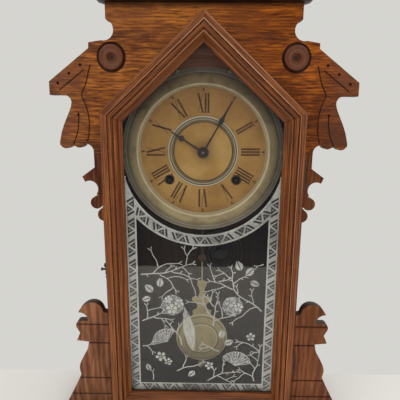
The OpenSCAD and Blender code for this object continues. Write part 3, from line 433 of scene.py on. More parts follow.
def rounded(node, width_mm, wood, edge):
    skin = bmesh.new()
    skin.from_mesh(NODES[node].data)
    bmesh.ops.remove_doubles(skin, verts=skin.verts, dist=SAME_POINT)
    bmesh.ops.dissolve_limit(skin, angle_limit=FLAT, verts=skin.verts, edges=skin.edges)
    board = add_object(node + "_skin", mesh_of(skin, node + "_skin"))
    board.data.materials.append(wood)
    board.data.materials.append(edge)
    bevel = board.modifiers.new("edges", "BEVEL")
    bevel.width = width_mm * MM
    bevel.segments = 2
    bevel.limit_method = "ANGLE"
    bevel.angle_limit = SHARP
    bevel.material = 1
    board = frozen(board, "rounded_" + node)
    smooth(board.data, 30)
    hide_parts(node)
    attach(board, NODES[node]["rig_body"])
    return board


ROUNDED = {
    "front_board": (0.7, "oak_front"), "front_stile_left": (0.7, "oak_up"),
    "front_stile_right": (0.7, "oak_up"), "front_rail": (0.3, "oak_across"),
    "base_scroll_left": (0.3, "oak_scroll"), "base_scroll_right": (0.3, "oak_scroll"),
    "crest": (0.7, "oak_crest"), "cornice": (0.3, "oak_cornice"),
    "base_moulding_front": (0.4, "oak_molding"), "base_mouldings_side": (0.4, "oak_molding_back"),
    "base_board": (0.4, "oak_across"), "side_board_left": (0.5, "oak_side"),
    "side_board_right": (0.5, "oak_side"), "roof_board": (0.5, "oak_block"),
    "door_stile_left": (0.25, "door_up"), "door_stile_right": (0.25, "door_up"),
    "door_gable_left": (0.25, "door_rise"), "door_gable_right": (0.25, "door_fall"),
    "door_bottom_rail": (0.25, "door_across"),
}
for node, (width, wood) in ROUNDED.items():
    edge = "door_edge" if node.startswith("door_") else "oak_edge"
    board = rounded(node, width, WOODS[wood], WOODS[edge])
    print(board.name, len(board.data.polygons), "faces")

# %% [markdown]
# A glue block stands behind the tip of the gable, in the corner of the front board and the roof board.
# Such blocks hold the corner square, and this one closes the small triangle above the roof board.

# %% Glue block
BLOCK_HALF, BLOCK_LEG, BLOCK_LIP, BLOCK_EDGE = 0.030, 0.018, 0.004, 0.0006
corner_y, corner_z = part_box("front_board")[1][1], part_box("roof_board")[1][2]
section = [(0, 0), (BLOCK_LEG, 0), (BLOCK_LEG, BLOCK_LIP), (BLOCK_LIP, BLOCK_LEG), (0, BLOCK_LEG)]
shape = bmesh.new()
ends = [[shape.verts.new((x, corner_y + a, corner_z + b)) for a, b in section]
        for x in (-BLOCK_HALF, BLOCK_HALF)]
shape.faces.new(ends[0])
shape.faces.new(ends[1][::-1])
for i in range(len(section)):
    j = (i + 1) % len(section)
    shape.faces.new((ends[0][j], ends[0][i], ends[1][i], ends[1][j]))
bmesh.ops.recalc_face_normals(shape, faces=shape.faces)
bmesh.ops.bevel(shape, geom=shape.edges[:], offset=BLOCK_EDGE, segments=2, affect="EDGES")
block = add_object("glue_block", mesh_of(shape, "glue_block"))
block.data.materials.append(WOODS["oak_block"])
smooth(block.data, 30)
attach(block, "case")
print(block.name, len(block.data.polygons), "faces")

# %% [markdown]
# ## Metals, glass and the rest
# The movement is rolled brass that has dulled, the arbors are plain steel, and the bezel is plated but
# yellowed. Each has a slow noise in its colour and roughness where fingers and damp have been, and a
# fine one for the rolling or turning marks.


# %% Metals
def metal(name, metallic, color, stain_and_shade, roughness, spots=0.35, scale=90):
    paint = Paint(name, Metallic=metallic)
    cloud = paint.noise(scale, 5, 0.6)
    marks = paint.noise(900, 2)
    paint.set("Base Color", paint.mix(cloud.between(0.42, 0.75) * spots, color, stain_and_shade))
    paint.set("Roughness", roughness + (cloud - 0.5) * 0.35 + (marks - 0.5) * 0.12)
    paint.bump(marks, 0.00003, 0.4)
    return paint.material


METALS = {looks[0]: metal(*looks) for looks in (
    ("brass", 0.85, (0.55, 0.38, 0.14), (0.20, 0.12, 0.045), 0.34),
    ("old_brass", 0.4, (0.34, 0.28, 0.14), (0.20, 0.15, 0.075), 0.42, 0.6, 40),
    ("brown_brass", 0.3, (0.070, 0.040, 0.020), (0.035, 0.020, 0.012), 0.5, 0.6, 60),
    ("zinc", 0.2, (0.155, 0.118, 0.085), (0.09, 0.069, 0.052), 0.5, 0.6, 60),
    ("steel", 0.85, (0.34, 0.33, 0.31), (0.14, 0.11, 0.08), 0.38),
    ("spring", 1.0, (0.16, 0.17, 0.20), (0.09, 0.07, 0.05), 0.35),
    ("blued", 0.3, (0.040, 0.031, 0.026), (0.070, 0.040, 0.022), 0.42, 0.5, 300),
    ("iron", 0.3, (0.020, 0.019, 0.018), (0.045, 0.024, 0.012), 0.5, 0.5, 160),
)}

# %% [markdown]
# Turned parts carry painted light in rings. The rosettes get painted shade at the bottom of their hollow
# and in the groove round them and a painted highlight on their crown, the plated rings of the dial carry
# painted highlights on their lips and beads and painted shadow lines, and the bob has two pairs of them.
# The dial's rings and the bob are also a painted shade darker towards the top. Each is drawn by the
# distance from the part's own axis, so the rings follow the turning.


# %% Turned parts
def from_axis(paint, x, z, mirrored=False):
    """Distance from an axis along Y, in metres."""
    across = paint.along("X")
    across = across.distance(0) - x if mirrored else across - x
    up = paint.along("Z") - z
    return paint.math("SQRT", across * across + up * up, 0)


def ringed(name, center, roughness, metallic, top_shade, color, stain_and_shade, rings):
    """A turned part with painted shade towards the top; its rings of painted highlight and shadow are
    (radius, width, share, colour) in millimetres.
    """
    paint = Paint(name, Metallic=metallic)
    radius = from_axis(paint, *center)
    cloud = paint.noise(60, 5, 0.6)
    # Painted shade: the part is darker towards its top.
    high = paint.along("Z").between(center[1] - 0.03, center[1] + 0.08)
    shade = paint.mix(cloud.between(0.42, 0.75) * 0.5 + high * top_shade, color, stain_and_shade)
    # Pale rings are painted highlights, and dark rings painted shadow lines.
    for middle, width, share, ring in rings:
        shade = paint.mix(radius.near(middle * MM, width * MM) * share, shade, ring)
    paint.set("Base Color", shade)
    paint.set("Roughness", roughness + (cloud - 0.5) * 0.25)
    paint.bump(paint.noise(900, 2), 0.00003, 0.4)
    return paint.material


def right_disc(box):
    """Axis and radius of the right one of two equal discs, from the box round both."""
    low, high = box
    radius = (high[2] - low[2]) / 2
    return high[0] - radius, (low[2] + high[2]) / 2, radius


rosette_x, rosette_z, _ = right_disc(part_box("rosettes"))
DIAL_Z = 353
DIAL_CENTER = (0, DIAL_Z * MM)
BOB_R, ROD_END = 0.0345, 0.007
bob_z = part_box("pendulum_bob")[0][2] + ROD_END + BOB_R
# Rosette: painted shade in its middle and outer groove, and a painted highlight on its crown. Dial rings
# and bob: pale rings are painted highlights, dark rings painted shadow lines.
TURNED = {node: ringed(*looks) for node, *looks in (
    ("rosettes", "oak_rosette", (rosette_x, rosette_z, True), 0.42, 0, 0,
     (0.098, 0.026, 0.008), (0.14, 0.044, 0.012),
     [(0, 3.4, 0.9, (0.02, 0.008, 0.005)), (13.5, 1.6, 0.8, (0.03, 0.012, 0.008)),
      (8.0, 1.8, 0.5, (0.18, 0.075, 0.036))]),
    ("dial_bezel", "bezel", DIAL_CENTER, 0.42, 0.2, 0.75, (0.50, 0.40, 0.22), (0.15, 0.097, 0.043),
     [(77.0, 2.2, 0.45, (0.62, 0.55, 0.36)), (90.3, 1.4, 0.4, (0.13, 0.10, 0.055)),
      (80.2, 1.2, 0.3, (0.18, 0.14, 0.075))]),
    ("dial_pan", "pan", DIAL_CENTER, 0.5, 0.2, 0.9, (0.27, 0.23, 0.165), (0.115, 0.086, 0.058),
     [(92.4, 1.3, 0.2, (0.34, 0.29, 0.21)), (94.2, 0.9, 0.5, (0.05, 0.042, 0.035)),
      (76.0, 1.6, 0.9, (0.60, 0.52, 0.35))]),
    ("dial_center_ring", "center_ring", DIAL_CENTER, 0.36, 0.2, 0,
     (0.17, 0.125, 0.065), (0.12, 0.085, 0.042),
     [(41.2, 1.2, 0.9, (0.62, 0.58, 0.46)), (39.8, 0.8, 0.8, (0.04, 0.03, 0.02)),
      (38.6, 0.9, 0.7, (0.46, 0.41, 0.28)), (34.9, 0.9, 0.7, (0.08, 0.055, 0.03))]),
    ("pendulum_bob", "bob", (0, bob_z), 0.42, 0.4, 0.1, (0.34, 0.28, 0.14), (0.20, 0.15, 0.075),
     [(33.6, 1.3, 0.5, (0.58, 0.52, 0.34)), (31.2, 1.2, 0.6, (0.12, 0.09, 0.045)),
      (22.0, 1.4, 0.7, (0.12, 0.09, 0.045)), (20.4, 1.0, 0.5, (0.55, 0.50, 0.34))]),
)}
print("rosette axis:", round(rosette_x, 4), round(rosette_z, 4))

# %% [markdown]
# The glass lets light straight through and mirrors a little of the table and the room: four parts in a
# hundred face on, and more towards a glancing view. The Fresnel node isn't used, because at the back of a
# pane that bends no light it would turn into a full mirror. The paper is browned at its edge, round the
# hub and in clouds, and it's darker towards the top, a painted shadow of the door's gable.


# %% Glass, paper and putty
def clear_glass():
    paint = Paint("window_glass")
    clear = paint.node("ShaderNodeBsdfTransparent", {"Color": (0.985, 0.99, 0.985)})
    wave = paint.relief(paint.noise(9, 2), 0.004, 0.05)
    gloss = paint.node("ShaderNodeBsdfGlossy", {"Color": (1, 1, 1), "Roughness": 0.02, "Normal": wave})
    edge_on = Num(paint, paint.node("ShaderNodeLayerWeight", {"Blend": 0.5}).outputs["Facing"])
    sheen = paint.math("POWER", edge_on, 5) * 0.96 + 0.04
    both = paint.node("ShaderNodeMixShader", {0: sheen, 1: clear.outputs[0], 2: gloss.outputs[0]})
    feed(paint.tree, paint.tree.nodes["Material Output"].inputs["Surface"], both.outputs[0])
    paint.tree.nodes.remove(paint.shader)
    return paint.material


def aged_paper():
    paint = Paint("aged_paper", Roughness=0.75, Specular_IOR_Level=0.25)
    far = from_axis(paint, *DIAL_CENTER)
    cloud = paint.noise(24, 4, 0.65)
    fiber = paint.noise(1400, 2)
    rim = far.between(0.030, 0.078)
    hub = 1 - far.between(0.004, 0.022)
    # Painted shadow of the door's gable: darker towards the top of the paper.
    high = paint.along("Z").between(0.33, 0.43)
    color = paint.ramp(cloud, [(0.32, (0.265, 0.140, 0.037)), (0.50, (0.355, 0.203, 0.057)),
                               (0.68, (0.43, 0.266, 0.085))])
    for share, stain_and_shade in ((rim * 0.4, (0.28, 0.140, 0.044)), (high * 0.5, (0.20, 0.095, 0.036)),
                         (hub * 0.5, (0.15, 0.075, 0.030)),
                         (fiber.between(0.60, 0.75) * 0.15, (0.25, 0.14, 0.06))):
        color = paint.mix(share, color, stain_and_shade)
    paint.set("Base Color", color)
    paint.bump(fiber, 0.00005, 0.4)
    return paint.material


def putty():
    paint = Paint("putty", Roughness=0.8)
    lumps = paint.noise(260, 4, 0.6)
    paint.set("Base Color", paint.ramp(lumps, [(0.3, (0.035, 0.026, 0.018)), (0.7, (0.10, 0.075, 0.05))]))
    paint.bump(lumps, 0.0004, 0.6)
    return paint.material


PAINTS = {
    **METALS, "nickel": TURNED["dial_bezel"], "blued_steel": METALS["blued"], "paper": aged_paper(),
    "glass": clear_glass(), "putty": putty(), "oak": WOODS["oak_across"],
    "oak_moulding": WOODS["oak_molding"], "pine": WOODS["pine_across"],
}
SPECIAL = {
    **TURNED, "back_board": WOODS["pine_up"], "mainsprings": METALS["spring"],
    **dict.fromkeys(("latch_hook", "latch_screw", "latch_stud", "winding_arbor_time",
                     "winding_arbor_strike"), METALS["iron"]),
    **dict.fromkeys(("hinge_case_leaves", "hinge_door_leaves", "winding_grommets", "pendulum_rod"),
                    METALS["brown_brass"]),
}
for node, slot in SLOTS.items():
    NODES[node].data.materials[0] = SPECIAL.get(node, PAINTS[slot])
print("finishes:", len(bpy.data.materials))

# %% [markdown]
# ## Flat prints
# Numerals, marks and stencilled lines are all flat shapes that stand a hair in front of a surface. A
# small collector takes polygons in X and Z, in millimetres, and makes one mesh of them. A line of
# changing width is a strip of quads along its points, with its sides pushed out square to its heading.


# %% Flat shapes
def mesh_from(name, points, faces=()):
    mesh = bpy.data.meshes.new(name)
    mesh.from_pydata(points, [], faces)
    return mesh


class Print:
    """Flat polygons that lie in one plane, facing forwards."""

    def __init__(self, name, depth_mm):
        self.name, self.y = name, depth_mm * MM
        self.points, self.faces = [], []

    def polygon(self, points):
        area = sum(a[0] * b[1] - b[0] * a[1] for a, b in zip(points, points[1:] + points[:1]))
        points = points if area > 0 else points[::-1]
        start = len(self.points)
        self.points += [(x * MM, self.y, z * MM) for x, z in points]
        self.faces.append(tuple(range(start, start + len(points))))

    def line(self, points, widths):
        """A strip along points; widths is one number, or the first and last."""
        first, last = widths if isinstance(widths, tuple) else (widths, widths)
        sides = []
        for i, (x, z) in enumerate(points):
            (ax, az), (bx, bz) = points[max(i - 1, 0)], points[min(i + 1, len(points) - 1)]
            length = math.hypot(bx - ax, bz - az) or 1
            half = (first + (last - first) * i / max(len(points) - 1, 1)) / 2
            nx, nz = -(bz - az) / length * half, (bx - ax) / length * half
            sides.append(((x + nx, z + nz), (x - nx, z - nz)))
        for (a, b), (c, d) in zip(sides, sides[1:]):
            self.polygon([a, c, d, b])

    def shape(self):
        return add_object(self.name, mesh_from(self.name, self.points, self.faces))

    def made(self, material, body, slot=None):
        piece = self.shape()
        piece.data.materials.append(material)
        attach(piece, body)
        print(self.name, len(self.faces), "faces")


def moved(x, z, angle, size, shape):
    """A small shape, scaled, turned and set down at x, z."""
    c, s = math.cos(angle) * size, math.sin(angle) * size
    return [(x + u * c - v * s, z + u * s + v * c) for u, v in shape]


def ahead(x, z, angle, way):
    """The point that lies the given way from x, z."""
    return x + way * math.cos(angle), z + way * math.sin(angle)


def circle_points(x, z, r, start, end, steps):
    turns = [math.radians(start + (end - start) * i / steps) for i in range(steps + 1)]
    return [ahead(x, z, a, r) for a in turns]


# %% [markdown]
# ## The printed dial
# Roman numerals stand with their feet to the middle. Each stroke is a bar from foot to head: thick and
# thin ones alternate in V and X, and short serifs close them. The strokes are laid out upright first
# and then turned to their hour, and one that meets a winding hole stops at its rim. The minute track is
# two hair lines with a wedge at each hour.

# %% Dial print
PAN_Y = -4.0
PAPER_Y = PAN_Y - 0.3
INK = Paint("dial_ink", Roughness=0.7)
INK.set("Base Color", INK.ramp(INK.noise(420, 4, 0.6), [
    (0.45, (0.045, 0.015, 0.004)), (0.78, (0.15, 0.066, 0.022))]))
NUMERALS = "XII I II III IIII V VI VII VIII IX X XI".split()
FOOT_R, HEAD_R = 46.0, 67.5
LETTER_W = {"I": 3.4, "V": 8.4, "X": 8.4}
THICK, THIN = 2.1, 0.6
WEDGE = [(-1.7, 74.0), (0, 73.2), (1.7, 74.0), (0.9, 71.6), (0, 69.0), (-0.9, 71.6)]
MINUTE_RINGS = (69.6, 72.4)
STROKE_STEPS = 40
HOLE_X, HOLE_Z, HOLE_R = (v / MM for v in right_disc(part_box("winding_grommets")))


def numeral_strokes(text):
    """Bars of one numeral, as (x at the foot, x at the head, width)."""
    strokes, x = [], -sum(LETTER_W[c] for c in text) / 2
    for letter in text:
        w = LETTER_W[letter]
        if letter == "I":
            strokes.append((x + w / 2, x + w / 2, THICK))
        elif letter == "V":
            strokes += [(x + w / 2, x + 1.2, THICK), (x + w / 2, x + w - 1.2, THIN)]
        else:
            strokes += [(x + w - 1.4, x + 1.4, THICK), (x + 1.4, x + w - 1.4, THIN)]
        x += w
    return strokes


def turned(points, hour):
    """Points of an upright numeral, at their hour."""
    return moved(0, DIAL_Z, math.radians(-30 * hour), 1, points)


def stroke(foot, head, width, hour):
    """One bar from foot to head; what would lie on a winding hole isn't printed."""
    steps = [i / STROKE_STEPS for i in range(STROKE_STEPS + 1)]
    points = turned([(foot + (head - foot) * t, FOOT_R + (HEAD_R - FOOT_R) * t) for t in steps], hour)
    for clear, run in itertools.groupby(
            points, lambda p: math.hypot(abs(p[0]) - HOLE_X, p[1] - HOLE_Z) > HOLE_R):
        run = list(run)
        if clear and len(run) > 1:
            dial_print.line([run[0], run[-1]], width)


dial_print = Print("dial_print", PAPER_Y - 0.04)
for hour, text in enumerate(NUMERALS):
    for foot, head, width in numeral_strokes(text):
        stroke(foot, head, width, hour)
        for x, r in ((foot, FOOT_R), (head, HEAD_R)):
            dial_print.line(turned([(x - width * 0.85, r), (x + width * 0.85, r)], hour), 0.5)
    dial_print.polygon(turned(WEDGE, hour))
for radius in MINUTE_RINGS:
    dial_print.line(circle_points(0, DIAL_Z, radius, 0, 360, 120), 0.2)
dial_print.made(INK.material, "case", "paper")

# %% [markdown]
# ## One tree for everything that repeats
# Nails, screws and the tiles of the stencilled border are one shape set down many times. This tree takes
# the object's own points, puts the shape on each, turned by the angle stored there, and makes the copies
# real. Its inputs are named, and are set through their identifiers before the object is evaluated.


# %% Repeat tree
def repeat_tree():
    tree = bpy.data.node_groups.new("repeat_on_points", "GeometryNodeTree")
    for name, kind in (("Geometry", "Geometry"), ("Shape", "Object"), ("Wobble", "Float"),
                       ("Seed", "Int"), ("Finish", "Material")):
        tree.interface.new_socket(name, in_out="INPUT", socket_type="NodeSocket" + kind)
    tree.interface.new_socket("Geometry", in_out="OUTPUT", socket_type="NodeSocketGeometry")

    def node(kind, inputs=None, **settings):
        return add_node(tree, kind, inputs, **settings).outputs

    start = node("NodeGroupInput")
    turn = node("GeometryNodeInputNamedAttribute", {"Name": "turn"}, data_type="FLOAT_VECTOR")[0]
    chance = node("FunctionNodeRandomValue", {2: -1, 3: 1, "Seed": start["Seed"]}, data_type="FLOAT")[1]
    spread = node("ShaderNodeMath", {0: start["Wobble"], 1: chance}, operation="MULTIPLY")[0]
    added = node("ShaderNodeCombineXYZ", {"Y": spread})[0]
    total = node("ShaderNodeVectorMath", {0: turn, 1: added})[0]
    copies = node("GeometryNodeInstanceOnPoints", {
        "Points": start["Geometry"],
        "Instance": node("GeometryNodeObjectInfo", {"Object": start["Shape"]})["Geometry"],
        "Rotation": node("FunctionNodeEulerToRotation", {0: total})[0]})["Instances"]
    real = node("GeometryNodeRealizeInstances", {0: copies})[0]
    finished = node("GeometryNodeSetMaterial", {"Geometry": real, "Material": start["Finish"]})[0]
    node("NodeGroupOutput", {0: finished})
    return tree


REPEAT = repeat_tree()


def repeated(name, shape, points, finish, body, wobble=0.0, seed=1):
    """shape on each point (x, y, z in mm, and an angle about Y); the shape itself is used up."""
    mesh = mesh_from(name + "_points", [Vector(point[:3]) * MM for point in points])
    mesh.attributes.new("turn", "FLOAT_VECTOR", "POINT").data.foreach_set(
        "vector", [value for *_, turn in points for value in (0, -math.radians(turn), 0)])
    holder = add_object(name + "_points", mesh)
    modifier = holder.modifiers.new("repeat", "NODES")
    modifier.node_group = REPEAT
    sockets = {s.name: s.identifier for s in REPEAT.interface.items_tree if s.in_out == "INPUT"}
    for socket, value in (("Shape", shape), ("Wobble", wobble), ("Seed", seed), ("Finish", finish)):
        modifier[sockets[socket]] = value
    piece = frozen(holder, name)
    bpy.data.objects.remove(shape)
    smooth(piece.data, 40)
    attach(piece, body)
    print(name, len(points), "copies,", len(piece.data.polygons), "faces")


# %% [markdown]
# ## Screws and nails
# Slotted brass screws hold the dial's pan to its blocks, and cut nails hold the back board. Both heads
# are lathe profiles, the screws' towards -Y and the nails' towards the back. The points in a narrow band
# across a screw's head are pushed down to make its slot, and a seeded wobble turns each its own way.


# %% Screws and nails
def lathe(name, profile, steps):
    """A shape turned about Y: profile is (radius, y) in millimetres, from the rim to the middle."""
    shape = bmesh.new()
    angles = [2 * math.pi * i / steps for i in range(steps)]
    rings = [[shape.verts.new((radius * MM * math.cos(a), y * MM, radius * MM * math.sin(a)))
              for a in (angles if radius else (0,))] for radius, y in profile]
    for low, high in zip(rings, rings[1:]):
        for i in range(steps):
            j = (i + 1) % steps
            top = (high[0],) if len(high) == 1 else (high[j], high[i])
            shape.faces.new((low[i], low[j], *top))
    bmesh.ops.recalc_face_normals(shape, faces=shape.faces)
    return add_object(name, mesh_of(shape, name))


SCREW_R, SCREW_H = 2.0, 0.9
screw = lathe("pan_screw", [(SCREW_R, 0.2), (SCREW_R, -SCREW_H * 0.35), (SCREW_R * 0.86, -SCREW_H * 0.8),
                            (SCREW_R * 0.5, -SCREW_H), (0, -SCREW_H * 1.04)], 24)
for vertex in screw.data.vertices:
    if abs(vertex.co.z) < SCREW_R * MM * 0.16 and vertex.co.y < -SCREW_H * MM * 0.7:
        vertex.co.y = -SCREW_H * MM * 0.45
repeated("pan_screws", screw, [(-93.6, PAN_Y, DIAL_Z, 0), (93.6, PAN_Y, DIAL_Z, 0), (-30, PAN_Y, 444.6, 0),
                               (30, PAN_Y, 444.6, 0)],
         METALS["old_brass"], "case", wobble=1.5, seed=4)

BACK_Y, TOP_NAILS_Z = 65, 455
nails = [(x, BACK_Y, z, 0) for z in range(40, 431, 78) for x in (-99, 99)]
nails += [(x, BACK_Y, TOP_NAILS_Z, 0) for x in range(-66, 67, 33)]
repeated("back_nails", lathe("nail", [(1.7, -0.2), (1.7, 0.1), (1.1, 0.32), (0, 0.4)], 12), nails,
         METALS["iron"], "case", wobble=0.6, seed=9)

# %% [markdown]
# ## The stencilled glass
# The door's glass carries a silver picture on its back: a border of small tiles down the sides, along
# the bottom and in an arc under the dial, and flowering twigs in the field. The border is a greyish
# silver band with a dark motif and small hooks on it, and brighter lines along its edges. The silver has
# worn thin in clouds, and it's nearly gone along the lower edge and at the lower left.


# %% Silver paint
def silver(name, share, worn):
    """Speckled silver paint, worn thin in clouds and gone along the lower and the lower left edge."""
    paint = Paint(name, Roughness=0.6)
    speckle = paint.noise(700, 4, 0.7)
    haze = paint.noise(30, 3)
    low, high = (tuple(c * share for c in color) for color in ((0.28, 0.275, 0.255), (0.56, 0.55, 0.51)))
    paint.set("Base Color", paint.ramp(speckle, [(0.30, low), (0.60, high)]))
    x, z = paint.along("X"), paint.along("Z")
    left = (1 - x.between(-0.0885, -0.0790)) * (1 - z.between(0.075, 0.150))
    gone = left + (1 - z.between(0.0570, 0.0655)) * (0.5 + haze.between(0.4, 0.6) * 0.5)
    paint.set("Alpha", (0.98 - haze.between(0.46, 0.7) * worn) * (1 - gone * 0.8))
    return paint.material


SILVER, BAND = silver("stencil_silver", 0.95, 0.3), silver("stencil_band", 0.76, 0.5)
FROST = Paint("stencil_frost", Roughness=0.7)
FROST.set("Base Color", (0.62, 0.62, 0.61))
FROST.set("Alpha", 0.16 + FROST.noise(400, 4, 0.7).between(0.35, 0.7) * 0.4)
DARK = Paint("stencil_dark", Roughness=0.6)
DARK.set("Base Color", DARK.ramp(DARK.noise(200, 2), [
    (0.3, (0.010, 0.010, 0.011)), (0.7, (0.028, 0.027, 0.027))]))

# %% Border bands
GLASS_BACK = -43.8
TOP_LAYER, MIDDLE_LAYER, GROUND_LAYER = (GLASS_BACK + gap for gap in (0.20, 0.30, 0.40))
EDGE_X, BAND_X, LINE_W = 87.3, 76.2, 1.2
LOW_Z, BAND_Z = 57.2, 66.5
ARC_Z, ARC_IN, ARC_OUT = DIAL_Z - 2, 90.0, 103.3


def arc_z(radius, x):
    return ARC_Z - math.sqrt(max(radius * radius - x * x, 0))


band = Print("stencil_band", GROUND_LAYER)
for side in (-1, 1):
    foot = [(side * BAND_X, LOW_Z), (side * EDGE_X, LOW_Z)]
    tops = [EDGE_X - (EDGE_X - BAND_X) * i / 6 for i in range(7)]
    band.polygon(foot + [(side * x, arc_z(ARC_IN, x)) for x in tops])
band.polygon([(-BAND_X, LOW_Z), (BAND_X, LOW_Z), (BAND_X, BAND_Z), (-BAND_X, BAND_Z)])
xs = [-BAND_X + BAND_X * i / 24 for i in range(49)]
for a, b in zip(xs, xs[1:]):
    corners = ((a, ARC_OUT), (b, ARC_OUT), (b, ARC_IN), (a, ARC_IN))
    band.polygon([(x, arc_z(radius, x)) for x, radius in corners])
band.made(BAND, "door")

edge = Print("stencil_edge", TOP_LAYER)
side_lines = ((BAND_X, BAND_Z, arc_z(ARC_OUT, BAND_X)),
              (EDGE_X - LINE_W / 2, LOW_Z, arc_z(ARC_IN, EDGE_X)))
for side in (-1, 1):
    for x, low, high in side_lines:
        edge.line([(side * x, low), (side * x, high)], LINE_W)
edge.line([(-BAND_X, BAND_Z), (BAND_X, BAND_Z)], LINE_W)
for radius in (ARC_IN + LINE_W / 2, ARC_OUT - LINE_W / 2):
    edge.line([(x, arc_z(radius, x)) for x in xs], LINE_W)
edge.made(SILVER, "door")


# %% Border motif
TILE, TILE_WIDTH = 24.8, 9.4


def tile_ground():
    """Two dark slanting bars with a dark triangle beside each, on the silver band."""
    tile = Print("tile_ground", 0)
    h = TILE_WIDTH / 2 - 0.7
    for side in (-1, 1):
        for shape in ([(-12.0, h), (-9.2, h), (-4.2, -h), (-7.0, -h)],
                      [(-7.6, h), (1.2, h), (-0.2, h - 2.4), (-3.2, -2.4)]):
            tile.polygon([(side * x, side * z) for x, z in shape])
    return tile.shape()


def tile_curls():
    """A silver hook in each dark triangle."""
    tile = Print("tile_curls", 0)
    for side in (-1, 1):
        curl = [(side * (-3.3 - r * math.cos(a)), side * (2.0 - r * math.sin(a))) for a, r in
                ((math.radians(70 + 52 * i), 1.4 - 0.18 * i) for i in range(6))]
        tile.line(curl, (0.6, 0.5))
    return tile.shape()


side_x, low_z = (EDGE_X + BAND_X) / 2 - 0.1, (LOW_Z + BAND_Z) / 2 - 0.2
arc_r = (ARC_IN + ARC_OUT) / 2
places = [(side * side_x, LOW_Z + LINE_W + TILE * (i + 0.5), 90 * side)
          for side in (-1, 1) for i in range(10)]
places += [((i - 2.5) * TILE, low_z, 0) for i in range(6)]
places += [(arc_r * math.sin(turn), ARC_Z - arc_r * math.cos(turn), math.degrees(turn))
           for turn in (TILE * 1.02 / arc_r * (i - 3) for i in range(7))]
for name, shape, y, finish in (("border_ground", tile_ground(), MIDDLE_LAYER, DARK.material),
                               ("border_curls", tile_curls(), TOP_LAYER, BAND)):
    repeated(name, shape, [(x, y, z, turn) for x, z, turn in places], finish, "door")

# %% [markdown]
# The twigs are grown here, to a layout of this clock's own, and they grow like thorn: a branch walks on
# in short straight steps, turns a little at each, and then puts out side shoots to the left and the
# right by turns. Every tip forks. A branch stops before it meets another, so the picture keeps its air,
# and a seeded draw makes it the same at each run. Frosted shapes lie behind the blossoms, the frond and
# the fans.

# %% Flowering twigs
twigs = Print("stencil_twigs", TOP_LAYER)
veils = Print("stencil_veils", MIDDLE_LAYER)
BORDER_GAP, TWIG_GAP, SHOOT_GAP = 2.5, 3.6, 2.4
TWIG_W, SHOOT_LONG, TIP_LONG = 1.4, 3.9, 4.6
draw = random.Random(11)
taken = []


def free(x, z, gap):
    """True inside the border and away from all that is already drawn."""
    sides = abs(x) < BAND_X - BORDER_GAP and z > BAND_Z + BORDER_GAP
    inside = sides and math.hypot(x, z - ARC_Z) > ARC_OUT + BORDER_GAP
    return inside and all(math.hypot(x - a, z - b) > gap + room for a, b, room in taken)


def leaf(x, z, angle, length):
    """Two pointed halves, with the middle rib left open between them."""
    for side in (-1, 1):
        half = [(0.0, 0.04), (0.25, 0.30), (0.55, 0.34), (0.85, 0.16), (1.0, 0.03), (0.55, 0.05)]
        twigs.polygon(moved(x, z, angle, length, [(u, side * v) for u, v in half]))


def blossom(x, z, size, turn):
    """Five round petals about a small middle."""
    petal = [(0.26, 0.0), (0.5, 0.28), (0.85, 0.33), (1.05, 0.0), (0.85, -0.33), (0.5, -0.28)]
    for i in range(5):
        twigs.polygon(moved(x, z, turn + 2 * math.pi * i / 5, size, petal))
    twigs.polygon(circle_points(x, z, size * 0.17, 0, 300, 5))


def twig(x, z, angle, length, width, shoots=2):
    """A branch with its forked tip, and its side shoots down to the second order."""
    points, headings = [(x, z)], [angle]
    while length > 0:
        step = draw.uniform(5, 8)
        heading = headings[-1] + draw.uniform(-0.42, 0.42)
        x, z = ahead(*points[-1], heading, step)
        if not free(x, z, TWIG_GAP):
            break
        points.append((x, z))
        headings.append(heading)
        length -= step
    if len(points) < 2:
        return
    twigs.line(points, (width, width * 0.75))
    for (ax, az), (bx, bz) in zip(points, points[1:]):
        taken.extend(((ax + bx) / 2 + (bx - ax) * s, (az + bz) / 2 + (bz - az) * s, 0) for s in (0, 0.5))
    for turn in (-0.5, 0.6):
        tip = ahead(*points[-1], headings[-1] + turn, TIP_LONG)
        twigs.line([points[-1], tip], width * 0.8)
    side = draw.choice((-1, 1))
    for (x, z), heading in list(zip(points, headings))[1:-1:1 if shoots == 2 else 2]:
        side = -side
        if shoots:
            turn = heading + side * draw.uniform(0.7, 1.1)
            start = ahead(x, z, turn, SHOOT_LONG)
            if free(*start, SHOOT_GAP):
                twigs.line([(x, z), start], width * 0.85)
                twig(*start, turn, len(points) * draw.uniform(2.0, 3.2), width * 0.85, shoots - 1)


def fern(x, z, angle, length, width):
    """A frond: pairs of narrow leaflets along a rib, over a pale veil."""
    count = int(length / 2.6)
    for i in range(count):
        along = (i + 0.5) / count
        reach = width * math.sin(math.pi * min(along * 0.9 + 0.12, 1))
        foot = ahead(x, z, angle, length * along)
        leaflet = [(0, -0.5 / reach), (0.6, -0.11), (1, 0), (0.6, 0.08)]
        for side in (-1, 1):
            twigs.polygon(moved(*foot, angle + side, reach, leaflet))
    twigs.line([(x, z), ahead(x, z, angle, length)], (1.3, 0.5))
    outline = [(0, 0), (0.2, 0.5), (0.5, 0.8), (0.85, 0.45), (1.05, 0),
               (0.85, -0.45), (0.5, -0.8), (0.2, -0.5)]
    veils.polygon(moved(x, z, angle, 1, [(u * length, v * width) for u, v in outline]))


def fan(x, z, angle, radius):
    """An open fan of eleven ribs with a scalloped rim."""
    rim = [ahead(x, z, angle + (i / 10 - 0.5) * 2.3, radius) for i in range(11)]
    veils.polygon([(x, z)] + rim)
    for tip in rim:
        twigs.line([(x, z), tip], (0.3, 0.8))
    for a, b in zip(rim, rim[1:]):
        bulge = ((a[0] + b[0]) / 2 * 1.045 - x * 0.045, (a[1] + b[1]) / 2 * 1.045 - z * 0.045)
        twigs.line([a, bulge, b], 1.0)


